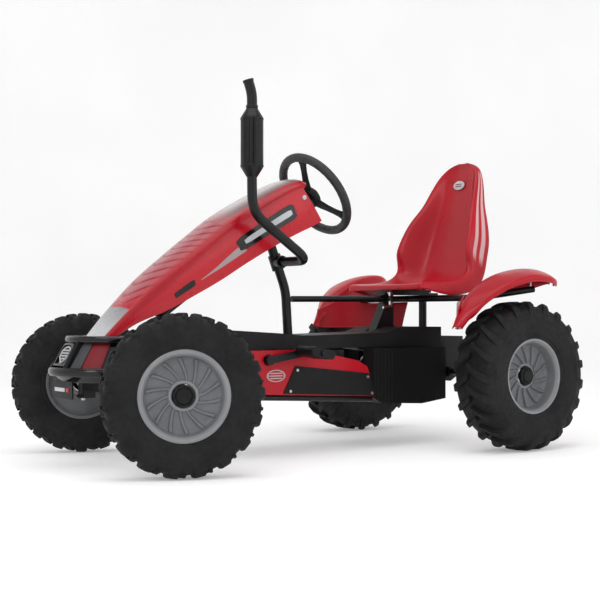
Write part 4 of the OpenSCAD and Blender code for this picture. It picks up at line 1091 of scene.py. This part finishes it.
def nose_plate():
    """Plain plate with a light bar and a red bar."""
    s = Shape()
    corner = 5
    outline = []
    for x, z, a0 in ((57, 221, 0), (-57, 221, 90), (-57, 185, 180), (57, 185, 270)):
        for k in range(5):
            a = math.radians(a0 + 22.5 * k)
            outline.append((x + corner * cos(a), z + corner * sin(a)))
    s.rings([at_depth(outline, -723), at_depth(outline, -727)], close=True, cap=True)
    s.box((-42, -728.2, 198), (18, -726, 208), mat=1)
    s.box((26, -728.2, 198), (42, -726, 208), mat=2)
    s.make("nose_plate", [black_plastic, silver, red], "chassis", bevel=0.6,
           stands_for=["badge_plate"], slot="black_steel")


nose_body()
nose_shield()
nose_plate()

# ------------------------------------------------------------ covers and frame

keep(black_plastic, "centre_cover", bevel=2.5)
keep(gear_cover_material(), "gear_cover", bevel=2.0)
keep(red, "side_cover_left", "side_cover_right", bevel=1.6)
keep(black_plastic, "side_plate_left", "side_plate_right", bevel=1.0)


def cover_badge(side, word):
    """Plain oval ring with three bars on the red side cover."""
    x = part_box("side_plate_left")[0].x * 1000
    y, z = mid("chainring").y * 1000 + 26, 226
    s = Shape()
    rings = []
    for r, h in ((1.0, -1.0), (1.0, 1.4), (0.84, 1.4), (0.84, -1.0)):
        angles = [2 * pi * i / 48 for i in range(48)]
        rings.append([(side * (x + h), y + 31 * r * cos(a), z + 17 * r * sin(a)) for a in angles])
    s.rings(rings, close=True)
    for dz, w in ((-7, 19), (0, 23), (7, 19)):
        ends = sorted((side * (x - 1), side * (x + 1.2)))
        s.box((ends[0], y - w, z + dz - 1.7), (ends[1], y + w, z + dz + 1.7))
    s.make(f"cover_badge_{word}", badge_pale, "chassis", world=ROW_MM, smooth=40, slot="red")


for side, word in SIDES:
    cover_badge(side, word)
keep(zinc, "plate_rivets", bevel=0.8)
keep(black_steel, "main_frame", bevel=1.0)
keep(black_steel, "fender_tubes", "front_axle_beam", "knuckle_left", "knuckle_right", "track_rod",
     "seat_bracket", bevel=0.6)
keep(black_steel, "drive_bearings", "hub_axle", bevel=0.4)
keep(zinc, "kingpins", "axle_pivot_bolt", "drive_chain", "axle_chain", "front_bearings_left",
     "front_bearings_right", "axle_sprocket", "hub_gear", "chainring", bevel=0.4)
keep(black_steel, "crank", "rear_axle", bevel=1.0)
keep(chrome, "seat_lever", bevel=1.0)
keep(black_plastic, "pedal_left", "pedal_right", bevel=1.5)

# ------------------------------------------------------------ stage

FLAT, BEND, WALL_TOP = 5.2, 2.6, 7.0  # metres: radius of the flat floor, bend, wall height


def stage_floor():
    """Pale bowl: a flat round floor that bends up into a wall."""
    m = Nodes("studio_floor")
    m.set(
        Base_Color=m.mix(m.ramp(m.noise(0.8), 0.3, 0.7), (0.80, 0.80, 0.80), (0.84, 0.84, 0.84)),
        Roughness=0.9,
        Emission_Color=(1, 1, 1, 1),
        Emission_Strength=0.25,
    )
    profile = [(0.000001, 0), (1.5, 0), (3.0, 0), (FLAT, 0)]
    for a in (0.2, 0.4, 0.6, 0.8, 1.0, 1.2, 1.4, pi / 2):
        profile.append((FLAT + BEND * sin(a), BEND - BEND * cos(a)))
    profile.append((FLAT + BEND, WALL_TOP))
    turns, n = 96, len(profile)
    verts, faces = [], []
    for i in range(turns):
        t = 2 * pi * i / turns
        a, b = i * n, ((i + 1) % turns) * n
        verts += [(r * cos(t), r * sin(t), z) for r, z in profile]
        faces += [(a + j, b + j, b + j + 1, a + j + 1) for j in range(n - 1)]
    me = bpy.data.meshes.new("floor")
    me.from_pydata(verts, [], faces)
    for p in me.polygons:
        p.use_smooth = True
    me.materials.append(m.mat)
    ob = bpy.data.objects.new("floor", me)
    bpy.context.scene.collection.objects.link(ob)


stage_floor()

bpy.context.scene.view_settings.view_transform = "Standard"
world = bpy.data.worlds.new("studio")
bpy.context.scene.world = world
world.use_nodes = True
background = world.node_tree.nodes["Background"]
background.inputs["Color"].default_value = (1, 1, 1, 1)
background.inputs["Strength"].default_value = 0.6


def area(name, place, target, size, power):
    light = bpy.data.lights.new(name, "AREA")
    light.shape = "RECTANGLE"
    light.size, light.size_y = size
    light.energy = power
    ob = bpy.data.objects.new(name, light)
    ob.location = place
    ob.rotation_mode = "QUATERNION"
    ob.rotation_quaternion = (Vector(target) - Vector(place)).to_track_quat("-Z", "Y")
    bpy.context.scene.collection.objects.link(ob)


area("top", (0.6, -0.6, 3.4), (0, 0, 0.3), (3.0, 3.0), 44)
area("key", (2.6, -3.4, 2.6), (0, 0, 0.4), (1.6, 1.6), 30)
area("side", (3.4, 1.6, 1.8), (0, 0, 0.4), (1.6, 2.2), 14)

# camera: azimuth and elevation in degrees, place in metres, lens in millimetres
CAMERA_TURN, CAMERA_RISE = 54.25, -0.75
CAMERA_PLACE = (2.7678, -1.9685 + Y0, 0.3935)

camera = bpy.data.cameras.new("camera")
camera.sensor_width = 36
camera.lens = 69.61
view = bpy.data.objects.new("camera", camera)
a, e = math.radians(CAMERA_TURN), math.radians(CAMERA_RISE)
back = Vector((sin(a) * cos(e), -cos(a) * cos(e), sin(e)))
view.location = CAMERA_PLACE
view.rotation_mode = "QUATERNION"
view.rotation_quaternion = (-back).to_track_quat("-Z", "Y")
bpy.context.scene.collection.objects.link(view)
bpy.context.scene.camera = view

bpy.context.view_layer.update()
